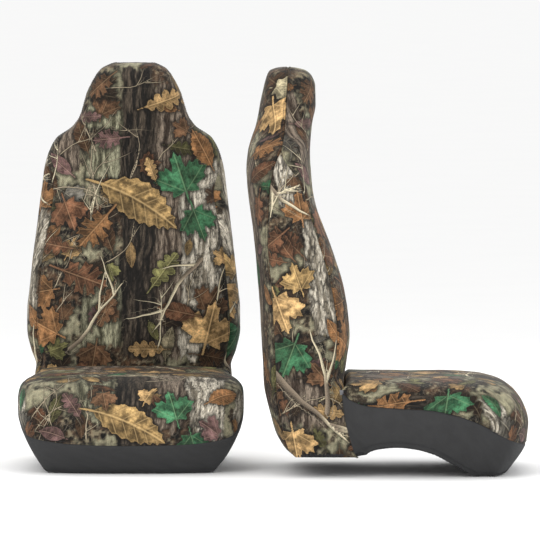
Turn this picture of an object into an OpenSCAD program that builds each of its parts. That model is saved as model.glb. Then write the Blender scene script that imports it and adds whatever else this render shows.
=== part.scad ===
// Pair of slip-on covers for high-back bucket seats, in millimetres, +Z up.
// The driver cover faces -Y. The passenger cover is the same cover, turned to face +X.

/* [Cover] */
// Width of the seat section at its widest
seat_w = 524; // [440:2:600]
// Height from the hem at the front to the top of the head
head_h = 934; // [860:2:1000]
// Widest part of the back
back_w = 492; // [420:2:560]
// Depth of one cover, front to rear
cover_depth = 653; // [600:1:700]
// Thickness of the foam-backed cloth
cloth_t = 3.5; // [2:0.5:6]
// Thickness of the stretch skirt
skirt_t = 2.5; // [1.5:0.5:5]

/* [Recline] */
// Recline axis, forward of the rearmost point
hinge_d = 140; // [120:1:160]
// Height of the recline axis
hinge_z = 141; // [130:1:150]
// Radius of the gusset's free edge about the recline axis
gusset_r = 95; // [90:1:98]
// Gap left between the gusset and the skirt
gusset_gap = 3; // [2:0.5:8]

/* [Hooks] */
// Wire radius of the S-hooks
wire_r = 1.5; // [1:0.1:2.5]
// Radius of the upper eye of a hook, to the wire's centre
hook_eye_r = 8; // [6:0.5:10]
// Radius of the lower bend of a hook
hook_bend_r = 8; // [6:0.5:12]
// Length of the hook's straight shank
hook_shank = 18; // [10:1:30]
// Inner radius of the elastic loop that carries a hook
loop_eye_r = 3; // [2.5:0.1:4]
// Depth along the seat of the front hooks
front_hook_d = 470; // [440:5:500]
// Height of the front hook eyes
front_hook_z = 116; // [110:1:122]
// Height of the rear hook eyes
rear_hook_z = 128; // [115:1:140]

/* [Layout] */
// Depth that lies at the frame's origin: the middle of the open underside
origin_d = 430; // [400:5:460]
// Gap between the two covers, side by side
cover_gap = 6; // [4:1:60]
// Sideways place of the passenger cover
passenger_y = -60; // [-70:2:-40]

/* [Hidden] */
eps = 0.5;
passenger_x = seat_w / 2 + cover_gap + origin_d;
kw = back_w / 492;
ks = seat_w / 524;
kh = (head_h - 216) / (934 - 216);
kd = cover_depth / 653;
camo = [0.45, 0.40, 0.32];
charcoal = [0.24, 0.24, 0.25];
elastic = [0.10, 0.10, 0.10];
steel = [0.72, 0.72, 0.70];

// ---- smooth curves through a few round points ----
function key_at(t, x, i = 0) =
    i >= len(t) - 2 || x < t[i + 1][0] ? i : key_at(t, x, i + 1);
function slope(t, i) =
    i <= 0 ? (t[1][1] - t[0][1]) / (t[1][0] - t[0][0]) :
    i >= len(t) - 1 ? (t[i][1] - t[i - 1][1]) / (t[i][0] - t[i - 1][0]) :
    steer((t[i][1] - t[i - 1][1]) / (t[i][0] - t[i - 1][0]),
          (t[i + 1][1] - t[i][1]) / (t[i + 1][0] - t[i][0]));
// harmonic mean, so that a curve never swings past its points
function steer(a, b) = a * b <= 0 ? 0 : 2 * a * b / (a + b);
function hermite(a, b, ma, mb, h, s) =
    a * (1 + 2 * s) * pow(1 - s, 2) + h * ma * s * pow(1 - s, 2)
    + b * s * s * (3 - 2 * s) - h * mb * s * s * (1 - s);
function curve(t, x) =
    let (c = max(t[0][0], min(t[len(t) - 1][0], x)),
         i = key_at(t, c),
         h = t[i + 1][0] - t[i][0])
    hermite(t[i][1], t[i + 1][1], slope(t, i), slope(t, i + 1), h, (c - t[i][0]) / h);
function ease(s) = s * s * (3 - 2 * s);
function mix(a, b, s) = a + (b - a) * s;
function unit(v) = v / norm(v);
function place(x, d, z) = [x, origin_d - d * kd, z];

// ---- the back: outline against height ----
function up(z) = z < 216 ? z : 216 + (z - 216) * kh;
half_keys = [[46, 226], [130, 236], [216, 230], [257, 243], [305, 252], [352, 252], [401, 247],
             [449, 242], [544, 231], [639, 219], [688, 212], [725, 201], [755, 184], [783, 145],
             [808, 128], [860, 111], [905, 89], [922, 74], [931, 55], [934, 44]];
rear_keys = [[46, 108], [60, 88], [90, 69], [130, 57], [200, 41], [260, 38], [400, 30],
             [560, 16], [640, 5], [700, 0], [740, 4], [800, 22], [860, 34], [905, 45],
             [925, 54], [932, 72], [934, 97]];
front_keys = [[216, 226], [250, 231], [320, 240], [380, 236], [450, 221], [520, 197],
              [600, 167], [660, 153], [740, 147], [800, 152], [850, 161], [890, 160],
              [912, 152], [926, 138], [932, 116], [934, 97]];
middle_keys = [[46, 118], [90, 136], [216, 140], [400, 132], [600, 92], [700, 76],
               [800, 89], [934, 97]];
front_seam_keys = [[46, 0.36], [216, 0.36], [500, 0.42], [620, 0.46], [680, 0.34],
                   [735, 0.05], [748, 0.004]];
rear_seam_keys = [[46, 0.45], [500, 0.42], [640, 0.24], [735, 0.05], [748, 0.004]];
square_keys = [[46, 6], [180, 6], [260, 3.8], [700, 3.4], [860, 2.9], [934, 2.4]];

function half(z) = curve(half_keys, z) * kw;
function rear(z) = curve(rear_keys, z);
function middle(z) = curve(middle_keys, z);
function square(z) = curve(square_keys, z);
function front_seam(z) = z > 749 ? 0 : curve(front_seam_keys, z);
function rear_seam(z) = z > 749 ? 0 : curve(rear_seam_keys, z);
// below the seat's surface the gusset's free edge is an arc about the recline axis
function arc_d(z, r) = hinge_d + sqrt(max(0, r * r - pow(z - hinge_z, 2)));
function reach(q, n) = pow(sin(90 * ease(q)), 2 / n);
function front_low(z) =
    middle(z) + (arc_d(z, gusset_r) - middle(z)) / reach(front_seam(z), square(z));
function front(z) =
    z <= 216 ? front_low(z) :
    z < 250 ? mix(front_low(216), curve(front_keys, z), ease((z - 216) / 34)) :
    curve(front_keys, z);

// q runs from -1 at the middle of the rear, past 0 at the side, to 1 at the middle of the front
function back_at(z, q) =
    let (n = q < 0 ? 3.2 : square(z),
         a = 90 * ease(abs(q)),
         w = half(z) * pow(max(0, cos(a)), 2 / n),
         f = pow(sin(a), 2 / n),
         d = q < 0 ? mix(middle(z), rear(z), f) : mix(middle(z), front(z), f))
    place(w, d, up(z));
function back_normal(z, q) =
    z > 933.5 ? [0, 0, 1] :
    let (q0 = max(-0.98, min(0.98, q)),
         z0 = max(47, min(932.8, z)),
         a = back_at(z0, q0 + 0.02) - back_at(z0, q0 - 0.02),
         b = back_at(z0 + 0.9, q0) - back_at(z0 - 0.9, q0),
         n = unit(cross(b, a)))
    abs(q) > 0.985 ? unit([0, n[1], n[2]]) : n;
function back_inner(z, q, t) = back_at(z, q) - back_normal(z, q) * t;
function flip(p) = [-p[0], p[1], p[2]];

tail_z = [46, 58, 78, 104, 130, 156, 180, 200, 216];
body_z = [216, 245, 280, 320, 365, 410, 455, 500, 545, 590, 630, 665, 695, 718, 735,
          748, 760, 773, 787, 805, 832, 862, 888, 907, 920, 928, 932.5, 934];
gusset_z = concat(tail_z, [for (z = body_z) if (z > 216 && z <= 748) z]);
rear_z = concat(tail_z, [for (z = body_z) if (z > 216) z]);

// one row of a panel that crosses the middle, from -X to +X
function row_front(z, t, m) = concat(
    [for (i = [0 : m - 1]) flip(back_inner(z, mix(front_seam(z), 1, i / m), t))],
    [for (i = [m : -1 : 0]) back_inner(z, mix(front_seam(z), 1, i / m), t)]);
function row_rear(z, t, m) = concat(
    [for (i = [0 : m - 1]) flip(back_inner(z, -mix(rear_seam(z), 1, i / m), t))],
    [for (i = [m : -1 : 0]) back_inner(z, -mix(rear_seam(z), 1, i / m), t)]);
function row_side(z, t, m) =
    [for (i = [0 : m]) back_inner(z, mix(-rear_seam(z), front_seam(z), i / m), t)];

// ---- a sheet between an outer grid and an inner grid of the same size ----
function flat_list(g) = [for (r = g) for (p = r) p];
function quad(a, b, c, d) = [[a, b, c], [a, c, d]];
module sheet(outer, inner) {
    n = len(outer);
    m = len(outer[0]);
    k = n * m;
    faces = [
        for (i = [0 : n - 2])
            for (j = [0 : m - 2])
                for (f = quad(i * m + j, i * m + j + 1, (i + 1) * m + j + 1, (i + 1) * m + j))
                    f,
        for (i = [0 : n - 2])
            for (j = [0 : m - 2])
                for (f = quad(k + (i + 1) * m + j, k + (i + 1) * m + j + 1,
                              k + i * m + j + 1, k + i * m + j))
                    f,
        for (j = [0 : m - 2])
            for (f = quad(k + j, k + j + 1, j + 1, j))
                f,
        for (j = [0 : m - 2])
            for (f = quad((n - 1) * m + j, (n - 1) * m + j + 1,
                          k + (n - 1) * m + j + 1, k + (n - 1) * m + j))
                f,
        for (i = [0 : n - 2])
            for (f = quad(i * m, (i + 1) * m, k + (i + 1) * m, k + i * m))
                f,
        for (i = [0 : n - 2])
            for (f = quad(k + i * m + m - 1, k + (i + 1) * m + m - 1,
                          (i + 1) * m + m - 1, i * m + m - 1))
                f
    ];
    polyhedron(points = concat(flat_list(outer), flat_list(inner)), faces = faces, convexity = 8);
}
function turned(g) = [for (r = g) [for (i = [len(r) - 1 : -1 : 0]) r[i]]];

// ---- the seat: middle line and side seam against v, 0 at the crease, 1 at the front seam ----
mid_d_keys = [[0, 241], [0.15, 300], [0.35, 390], [0.55, 470], [0.7, 535], [0.8, 580],
              [0.88, 618], [0.94, 642], [0.98, 653], [1, 648]];
mid_z_keys = [[0, 221], [0.35, 219], [0.55, 221], [0.7, 218], [0.8, 208], [0.88, 187],
              [0.94, 155], [0.98, 112], [1, 66]];
side_x_keys = [[0, 228], [0.15, 240], [0.35, 257], [0.55, 262], [0.75, 262], [0.88, 258],
               [1, 248]];
side_d_keys = [[0, 222], [0.15, 270], [0.35, 350], [0.55, 430], [0.7, 484], [0.8, 516],
               [0.88, 540], [0.94, 556], [1, 572]];
side_z_keys = [[0, 196], [0.07, 178], [0.15, 166], [0.35, 160], [0.5, 157], [0.7, 143],
               [0.8, 132], [0.94, 113], [1, 102]];
square_seat_keys = [[0, 4.5], [0.7, 4.5], [1, 2.6]];
seat_v = [0, 0.04, 0.09, 0.15, 0.22, 0.3, 0.38, 0.46, 0.54, 0.62, 0.7, 0.76, 0.81, 0.85,
          0.89, 0.925, 0.955, 0.98, 1];
seat_m = 9;

// q runs from 0 at the side seam to 1 at the middle
function seat_at(v, q) =
    let (a = 90 * ease(q),
         n = curve(square_seat_keys, v),
         c = pow(max(0, cos(a)), 2 / n),
         f = pow(sin(a), 2 / n))
    place(curve(side_x_keys, v) * ks * c,
          mix(curve(side_d_keys, v), curve(mid_d_keys, v), f),
          mix(curve(side_z_keys, v), curve(mid_z_keys, v), f));
function seat_half(v) = [for (i = [0 : seat_m]) seat_at(v, i / seat_m)];
function seat_row(v) =
    let (h = seat_half(v))
    concat([for (i = [0 : seat_m - 1]) flip(h[i])], [for (i = [seat_m : -1 : 0]) h[i]]);
seat_grid = [for (v = seat_v) seat_row(v)];
sn = len(seat_grid) - 1;
sm = len(seat_grid[0]) - 1;

// the seam path, from the rear at -X, round the front, to the rear at +X
seam_path = concat(
    [for (i = [0 : sn]) seat_grid[i][0]],
    [for (j = [1 : sm - 1]) seat_grid[sn][j]],
    [for (i = [sn : -1 : 0]) seat_grid[i][sm]]);
pn = len(seam_path) - 1;
function plan_out(k) =
    let (a = seam_path[max(0, k - 2)],
         b = seam_path[min(pn, k + 2)],
         t = b - a)
    unit([t[1], -t[0], 0]);
seam_out = [for (k = [0 : pn]) plan_out(k)];

function grid_normal(g, i, j) =
    let (n = len(g) - 1,
         m = len(g[0]) - 1,
         a = g[i][min(m, j + 1)] - g[i][max(0, j - 1)],
         b = g[min(n, i + 1)][j] - g[max(0, i - 1)][j])
    unit(cross(a, b));
function seat_normal(i, j) =
    j == 0 ? seam_out[i] :
    j == sm ? seam_out[pn - i] :
    i == sn ? seam_out[sn + j] :
    -grid_normal(seat_grid, i, j);
seat_inside = [for (i = [0 : sn]) [for (j = [0 : sm])
    seat_grid[i][j] - seat_normal(i, j) * cloth_t]];

// ---- the skirt: hangs from the seam and curls under at the hem ----
hem_keys = [[222, 66], [260, 60], [300, 64], [350, 68], [390, 64], [430, 53], [470, 32],
            [515, 8], [550, 0], [660, 0]];
curl_keys = [[0, 62], [3, 56], [8, 50], [22, 38], [49, 21], [77, 10], [100, 4], [130, 0],
             [200, 0]];
skirt_m = 6;
function depth_of(p) = (origin_d - p[1]) / kd;
function rear_shift(d, z) =
    (arc_d(z, gusset_r + gusset_gap) - 222) * max(0, 1 - (d - 222) / 70);
function skirt_at(k, s) =
    let (p = seam_path[k],
         d = depth_of(p),
         low = curve(hem_keys, d),
         z = mix(low, p[2], pow(1 - s, 1.7)),
         push = curve(curl_keys, p[2]) - curve(curl_keys, z),
         shift = rear_shift(d, z) - rear_shift(d, p[2]) * pow(1 - s, 3))
    [p[0], p[1] - shift * kd, z] + seam_out[k] * push;
skirt_grid = [for (j = [0 : skirt_m]) [for (k = [0 : pn]) skirt_at(k, j / skirt_m)]];
function skirt_normal(j, k) = j == 0 ? seam_out[k] : -grid_normal(skirt_grid, j, k);
function skirt_deep(j, k, t) =
    let (p = skirt_grid[j][k] - skirt_normal(j, k) * t)
    [p[0], p[1], max(0.4 * t, p[2])];

// ---- one cover, built facing -Y ----
module back_front_panel()
    color(camo)
    sheet(turned([for (z = body_z) row_front(z, 0, 10)]),
          turned([for (z = body_z) row_front(z, cloth_t, 10)]));

module back_rear_panel()
    color(camo)
    sheet(turned([for (z = rear_z) row_rear(z, 0, 7)]),
          turned([for (z = rear_z) row_rear(z, cloth_t, 7)]));

module gusset()
    color(camo)
    sheet([for (z = gusset_z) row_side(z, 0, 5)], [for (z = gusset_z) row_side(z, cloth_t, 5)]);

module gusset_left()
    mirror([1, 0, 0])
    gusset();

module gusset_right()
    gusset();

// elastic band sewn inside the free edge of the tail
tail_hem_z = [47, 60];
function tail_hem_row(z, t) =
    let (q1 = front_seam(z) * 0.9)
    concat([for (i = [0 : 9]) flip(back_inner(z, mix(q1, -1, i / 10), t))],
           [for (i = [10 : -1 : 0]) back_inner(z, mix(q1, -1, i / 10), t)]);
module back_hem_elastic()
    color(elastic)
    sheet(turned([for (z = tail_hem_z) tail_hem_row(z, cloth_t + 0.2)]),
          turned([for (z = tail_hem_z) tail_hem_row(z, cloth_t + 2.7)]));

module seat_top_panel()
    color(camo)
    sheet(turned(seat_grid), turned(seat_inside));

module skirt()
    color(charcoal)
    sheet(turned(skirt_grid),
          turned([for (j = [0 : skirt_m]) [for (k = [0 : pn]) skirt_deep(j, k, skirt_t)]]));

// elastic band sewn inside the skirt's hem
module skirt_hem_elastic()
    color(elastic)
    sheet(turned([for (j = [skirt_m - 1, skirt_m]) [for (k = [1 : pn - 1])
              skirt_deep(j, k, skirt_t)]]),
          turned([for (j = [skirt_m - 1, skirt_m]) [for (k = [1 : pn - 1])
              skirt_deep(j, k, skirt_t + 2.4)]]));

// where a hook's eye hangs: [x, d, z] on the +X side
front_wall_x = 261 * ks - skirt_t;
rear_wall_x = half(rear_hook_z) - cloth_t;
loop_out = 13;
// the wire sits this far below the middle of the loop's eye
hook_drop = 0.3;
front_eye = [front_wall_x - loop_out, front_hook_d, front_hook_z];
rear_eye = [rear_wall_x - loop_out, hinge_d, rear_hook_z];

// folded elastic: an eye for the hook's wire, and a strap that slants up to the wall
module hook_loop(e, wall_x)
    translate(place(e[0], e[1], e[2]))
    difference() {
        hull() {
            rotate([90, 0, 0])
                cylinder(r = loop_eye_r + 1.4, h = 6, center = true, $fn = 32);
            translate([wall_x - e[0] - 2, -3, 17])
                cube([2, 6, 10]);
        }
        rotate([90, 0, 0])
            cylinder(r = loop_eye_r, h = 8, center = true, $fn = 32);
    }

module both_sides(e, wall_x) {
    hook_loop(e, wall_x);
    mirror([1, 0, 0])
        hook_loop(e, wall_x);
}

// S-shaped wire in the YZ plane, hung with its upper bend through the loop
wire_sides = 8;
bend_steps = 8;
hook_line = concat(
    [for (i = [0 : bend_steps]) let (a = mix(-30, 180, i / bend_steps))
        [hook_eye_r * cos(a), hook_eye_r * (sin(a) - 1), a + 90]],
    [for (i = [0 : bend_steps]) let (a = mix(0, -180, i / bend_steps))
        [hook_bend_r * (cos(a) - 1) - hook_eye_r,
         hook_bend_r * sin(a) - hook_eye_r - hook_shank, a - 90]]);
// wire sections, each square to the line; h is the heading in degrees
function wire_ring(y, z, h) =
    [for (k = [0 : wire_sides - 1]) let (b = 360 * k / wire_sides)
        [wire_r * cos(b), y - wire_r * sin(b) * sin(h), z + wire_r * sin(b) * cos(h)]];
module wire(line) {
    n = len(line);
    m = wire_sides;
    faces = concat(
        [for (i = [0 : n - 2]) for (k = [0 : m - 1])
            for (f = quad(i * m + k, i * m + (k + 1) % m,
                          (i + 1) * m + (k + 1) % m, (i + 1) * m + k)) f],
        [[for (k = [m - 1 : -1 : 0]) k]],
        [[for (k = [0 : m - 1]) (n - 1) * m + k]]);
    polyhedron(points = [for (p = line) for (q = wire_ring(p[0], p[1], p[2])) q],
               faces = faces, convexity = 6);
}
module s_hook(e)
    color(steel)
    translate(place(e[0], e[1], e[2]))
    translate([0, 0, -hook_drop])
    wire(hook_line);

module rear_hook_loops()
    color(elastic)
    both_sides(rear_eye, rear_wall_x + 0.4);

module front_hook_loops()
    color(elastic)
    both_sides(front_eye, front_wall_x + 0.6);

module rear_hook_right()
    s_hook(rear_eye);

module rear_hook_left()
    mirror([1, 0, 0])
    s_hook(rear_eye);

module front_hook_right()
    s_hook(front_eye);

module front_hook_left()
    mirror([1, 0, 0])
    s_hook(front_eye);

module at_passenger()
    translate([passenger_x, passenger_y, 0])
    rotate([0, 0, 90])
    children();

module driver_back_front_panel() back_front_panel();
module driver_back_rear_panel() back_rear_panel();
module driver_gusset_left() gusset_left();
module driver_gusset_right() gusset_right();
module driver_back_hem_elastic() back_hem_elastic();
module driver_rear_hook_loops() rear_hook_loops();
module driver_rear_hook_left() rear_hook_left();
module driver_rear_hook_right() rear_hook_right();
module driver_seat_top_panel() seat_top_panel();
module driver_skirt() skirt();
module driver_skirt_hem_elastic() skirt_hem_elastic();
module driver_front_hook_loops() front_hook_loops();
module driver_front_hook_left() front_hook_left();
module driver_front_hook_right() front_hook_right();
module passenger_back_front_panel() at_passenger() back_front_panel();
module passenger_back_rear_panel() at_passenger() back_rear_panel();
module passenger_gusset_left() at_passenger() gusset_left();
module passenger_gusset_right() at_passenger() gusset_right();
module passenger_back_hem_elastic() at_passenger() back_hem_elastic();
module passenger_rear_hook_loops() at_passenger() rear_hook_loops();
module passenger_rear_hook_left() at_passenger() rear_hook_left();
module passenger_rear_hook_right() at_passenger() rear_hook_right();
module passenger_seat_top_panel() at_passenger() seat_top_panel();
module passenger_skirt() at_passenger() skirt();
module passenger_skirt_hem_elastic() at_passenger() skirt_hem_elastic();
module passenger_front_hook_loops() at_passenger() front_hook_loops();
module passenger_front_hook_left() at_passenger() front_hook_left();
module passenger_front_hook_right() at_passenger() front_hook_right();

driver_back_front_panel();
driver_back_rear_panel();
driver_gusset_left();
driver_gusset_right();
driver_back_hem_elastic();
driver_rear_hook_loops();
driver_rear_hook_left();
driver_rear_hook_right();
driver_seat_top_panel();
driver_skirt();
driver_skirt_hem_elastic();
driver_front_hook_loops();
driver_front_hook_left();
driver_front_hook_right();
passenger_back_front_panel();
passenger_back_rear_panel();
passenger_gusset_left();
passenger_gusset_right();
passenger_back_hem_elastic();
passenger_rear_hook_loops();
passenger_rear_hook_left();
passenger_rear_hook_right();
passenger_seat_top_panel();
passenger_skirt();
passenger_skirt_hem_elastic();
passenger_front_hook_loops();
passenger_front_hook_left();
passenger_front_hook_right();
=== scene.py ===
import math

import bpy
import numpy as np
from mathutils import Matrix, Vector


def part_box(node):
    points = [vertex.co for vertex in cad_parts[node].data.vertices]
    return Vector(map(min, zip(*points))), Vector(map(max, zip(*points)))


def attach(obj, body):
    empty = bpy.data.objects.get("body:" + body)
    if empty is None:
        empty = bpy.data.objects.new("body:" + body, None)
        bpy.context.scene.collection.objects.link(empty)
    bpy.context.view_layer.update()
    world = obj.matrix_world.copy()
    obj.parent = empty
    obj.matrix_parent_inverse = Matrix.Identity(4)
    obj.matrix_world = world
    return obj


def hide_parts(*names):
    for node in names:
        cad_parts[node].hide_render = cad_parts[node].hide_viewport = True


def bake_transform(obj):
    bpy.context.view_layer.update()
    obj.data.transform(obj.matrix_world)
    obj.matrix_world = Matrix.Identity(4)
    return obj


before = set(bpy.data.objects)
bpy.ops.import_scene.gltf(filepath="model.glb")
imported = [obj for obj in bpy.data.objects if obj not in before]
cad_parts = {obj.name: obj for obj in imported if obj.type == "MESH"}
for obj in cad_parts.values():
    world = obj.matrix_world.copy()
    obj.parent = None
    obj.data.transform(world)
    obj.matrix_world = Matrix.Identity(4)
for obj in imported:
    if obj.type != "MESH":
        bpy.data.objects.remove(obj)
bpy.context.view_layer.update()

# ---------------------------------------------------------------- places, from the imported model
REAR_Y = max(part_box("driver_back_rear_panel")[1][1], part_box("driver_gusset_right")[1][1]) * 1000
P_REAR_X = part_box("passenger_back_rear_panel")[0][0] * 1000
P_MID_Y = (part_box("passenger_skirt")[0][1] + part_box("passenger_skirt")[1][1]) * 500
CLOTH = 3.5            # thickness of the foam-backed cloth, mm
KNIT = 2.5             # thickness of the skirt's knit with its hem, mm
STEP = 3.3      # spacing of the cloth's points, mm
TAIL = 46              # heights in mm: the back's free edge,
CREASE = 198           # the lower edge of its front panel,
SHOULDER = 750         # the top of the gussets,
CREST = 934.0          # and the top of the head
LAYERS = 5             # of leaves in the print
TWIGS_OVER = (1, 3)    # the layers of leaves that twigs lie on
SHADOW = (0.006, 0.005, 0.004)


def local(p):
    """(x, d, z) in mm, d forward of the rearmost point, to the driver cover's place in metres."""
    p = np.asarray(p, float)
    return np.stack([p[..., 0], REAR_Y - p[..., 1], p[..., 2]], -1) * 0.001


def to_passenger(v):
    """The driver cover's metres to the passenger cover's: the same cover, turned to face +X."""
    v = np.asarray(v, float)
    return np.stack([P_REAR_X * 0.001 + REAR_Y * 0.001 - v[..., 1],
                     P_MID_Y * 0.001 + v[..., 0], v[..., 2]], -1)


# ---------------------------------------------------------------- smooth curves and noise
def curve(keys, x):
    """A smooth curve through a few points, which never swings past them."""
    k = np.asarray(keys, float)
    h = np.diff(k[:, 0])
    g = np.diff(k[:, 1]) / h
    m = np.zeros(len(k))
    m[0], m[-1] = g[0], g[-1]
    for i in range(1, len(k) - 1):
        if g[i - 1] * g[i] > 0:
            m[i] = 2 * g[i - 1] * g[i] / (g[i - 1] + g[i])
    c = np.clip(np.asarray(x, float), k[0, 0], k[-1, 0])
    i = np.clip(np.searchsorted(k[:, 0], c, side="right") - 1, 0, len(k) - 2)
    s = (c - k[i, 0]) / h[i]
    return (k[i, 1] * (1 + 2 * s) * (1 - s) ** 2 + h[i] * m[i] * s * (1 - s) ** 2
            + k[i + 1, 1] * s * s * (3 - 2 * s) - h[i] * m[i + 1] * s * s * (1 - s))


def ease(s):
    """From 0 to 1, flat at both ends."""
    s = np.clip(s, 0, 1)
    return s * s * (3 - 2 * s)


def noise(x, y, seed=0):
    """Smooth value noise from -1 to 1."""
    xi, yi = np.floor(x), np.floor(y)
    fx, fy = x - xi, y - yi
    fx, fy = fx * fx * (3 - 2 * fx), fy * fy * (3 - 2 * fy)

    def lattice(a, b):
        h = np.sin(a * 127.1 + b * 311.7 + seed * 74.7) * 43758.5453
        return (h - np.floor(h)) * 2 - 1

    top = lattice(xi, yi) * (1 - fx) + lattice(xi + 1, yi) * fx
    low = lattice(xi, yi + 1) * (1 - fx) + lattice(xi + 1, yi + 1) * fx
    return top * (1 - fy) + low * fy


def fbm(x, y, seed=0, octaves=3):
    """Noise with finer noise on top."""
    total, amp, norm = 0.0, 1.0, 0.0
    for i in range(octaves):
        total = total + amp * noise(x * 2 ** i, y * 2 ** i, seed + 13 * i)
        norm += amp
        amp *= 0.5
    return total / norm


def rgb(code):
    """A web colour as linear light."""
    v = np.array([int(code[i:i + 2], 16) for i in (0, 2, 4)]) / 255.0
    return np.where(v <= 0.04045, v / 12.92, ((v + 0.055) / 1.055) ** 2.4)


# ---------------------------------------------------------------- the back's outline, mm
# against height: half width, then d of the rear, the front and the widest line
HALF = [(46, 226), (130, 236), (216, 230), (257, 243), (305, 252), (352, 252), (401, 247), (449, 242),
        (544, 231), (639, 219), (688, 212), (725, 201), (755, 184), (783, 145), (808, 128),
        (860, 111), (905, 89), (922, 74), (931, 55), (934, 44)]
REAR = [(46, 108), (60, 88), (90, 69), (130, 57), (200, 41), (260, 38), (400, 30), (560, 16),
        (640, 5), (700, 0), (740, 4), (800, 22), (860, 34), (905, 45), (925, 54), (932, 72),
        (934, 97)]
FRONT = [(180, 226), (216, 226), (250, 231), (320, 240), (380, 236), (450, 221), (520, 197),
         (600, 167), (660, 153), (740, 147), (800, 152), (850, 161), (890, 160), (912, 152),
         (926, 138), (932, 116), (934, 97)]
MIDDLE = [(46, 118), (90, 136), (216, 140), (400, 132), (600, 92), (700, 76), (800, 89),
          (934, 97)]
# where the gusset's seams lie round the section, and how square the section is
FRONT_SEAM = [(46, 0.36), (216, 0.40), (500, 0.42), (620, 0.46), (680, 0.34), (735, 0.05),
              (750, 0.0)]
REAR_SEAM = [(46, 0.45), (500, 0.42), (640, 0.24), (735, 0.05), (750, 0.0)]
SQUARE = [(46, 4.5), (180, 4.2), (260, 3.8), (700, 3.4), (860, 2.9), (934, 2.4)]
# the seam between gusset and skirt, d against height
SIDE_SEAM = [(46, 258), (54, 250), (88, 239), (141, 227), (196, 220), (240, 206)]


def back_at(z, q):
    """A point of the back's surface: q from -1, the middle of the rear, past 0, the side, to 1."""
    z, q = np.broadcast_arrays(np.asarray(z, float), np.asarray(q, float))
    n = np.where(q < 0, 3.2, curve(SQUARE, z))
    a = np.radians(90 * ease(np.abs(q)))
    w = curve(HALF, z) * np.clip(np.cos(a), 0, 1) ** (2 / n)
    f = np.sin(a) ** (2 / n)
    mid = curve(MIDDLE, z)
    d = np.where(q < 0, mid + (curve(REAR, z) - mid) * f, mid + (curve(FRONT, z) - mid) * f)
    return np.stack([w, d, z], -1)


def seam_pull(z):
    """How far the gusset's front seam moves from the plain section, low down, to meet the skirt."""
    z = np.asarray(z, float)
    q = curve(FRONT_SEAM, z)
    here = back_at(z, q)
    goal = np.stack([np.full_like(z, 227.0), curve(SIDE_SEAM, z), z], -1)
    return (goal - here) * ease((238 - z) / 38)[..., None]


def lengths(p):
    """Length along a path, at each of its points."""
    return np.concatenate([[0], np.cumsum(np.linalg.norm(np.diff(p, axis=0), axis=1))])


def uniform(rows, count):
    """Each row of points respaced evenly along its length."""
    out = []
    for r in rows:
        s = lengths(r)
        t = np.linspace(0, s[-1], count)
        out.append(np.stack([np.interp(t, s, r[:, i]) for i in range(3)], -1))
    return np.array(out)


def heights(low, step):
    """Heights spaced evenly along the front or rear profile, close together at the crest."""
    z = np.concatenate([np.linspace(low, 900, 1200), CREST - 34 * np.cos(
        np.linspace(0, math.pi / 2, 400)[1:]) ** 2])
    z[-1] = CREST
    p = np.stack([curve(FRONT, z) * 0.5 + curve(REAR, z) * -0.5, z, curve(HALF, z) * 0.5], -1)
    s = lengths(p)
    return np.interp(np.linspace(0, s[-1], int(s[-1] / step)), s, z)


def both_sides(half):
    """A row from the left to the right, from its right half, which ends in the middle."""
    left = half[:-1].copy()
    left[:, 0] *= -1
    return np.concatenate([left, half[::-1]])


def normals(g):
    du = np.gradient(g, axis=1)
    dv = np.gradient(g, axis=0)
    n = np.cross(du, dv)
    n /= np.maximum(np.linalg.norm(n, axis=-1, keepdims=True), 1e-9)
    return n


def normals_out(grid, inside):
    """The grid's normals, turned away from a point inside, and whether that turned them over."""
    n = normals(grid)
    over = np.sum(n * (grid - np.asarray(inside, float)), -1).mean() < 0
    return (-n if over else n), over


def along(g, axis):
    """Arc length from the first point, in mm."""
    d = np.linalg.norm(np.diff(g, axis=axis), axis=-1)
    zero = np.zeros_like(np.take(d, [0], axis))
    return np.concatenate([zero, np.cumsum(d, axis)], axis)


def front_panel_grid():
    z = heights(CREASE, STEP)
    rows = []
    for h in z:
        q0 = float(curve(FRONT_SEAM, h))
        q = np.linspace(q0, 1, 160)
        half = back_at(np.full(160, h), q)
        pull = seam_pull(np.array([h]))[0]
        half = half + pull * ((1 - (q - q0) / (1 - q0)) ** 3)[:, None]
        # a shallow hollow between the seat's bolsters
        dish = 5.0 * ease((h - 240) / 120) * ease((700 - h) / 160)
        half[:, 1] -= dish * np.cos(np.clip(half[:, 0] / 150, 0, 1) * math.pi / 2) ** 2
        rows.append(both_sides(half))
    return uniform(rows, int(560 / STEP)), z


def rear_panel_grid():
    z = heights(TAIL, STEP * 1.5)
    rows = []
    for h in z:
        q = np.linspace(float(curve(REAR_SEAM, h)), 1, 160)
        half = back_at(np.full(160, h), -q)
        rows.append(both_sides(half)[::-1])
    return uniform(rows, int(520 / (STEP * 1.5))), z


def gusset_grid():
    z = np.linspace(TAIL, SHOULDER, int((SHOULDER - TAIL) / STEP))
    rows = []
    for h in z:
        q0, q1 = -float(curve(REAR_SEAM, h)), float(curve(FRONT_SEAM, h))
        if q1 - q0 < 1e-3:
            q0, q1 = -0.0005, 0.0005
        q = np.linspace(q0, q1, 120)
        side = back_at(np.full(120, h), q)
        pull = seam_pull(np.array([h]))[0]
        side = side + pull * (np.clip(q / max(q1, 1e-6), 0, 1) ** 2)[:, None]
        rows.append(side)
    return uniform(rows, int(190 / STEP)), z


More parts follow.
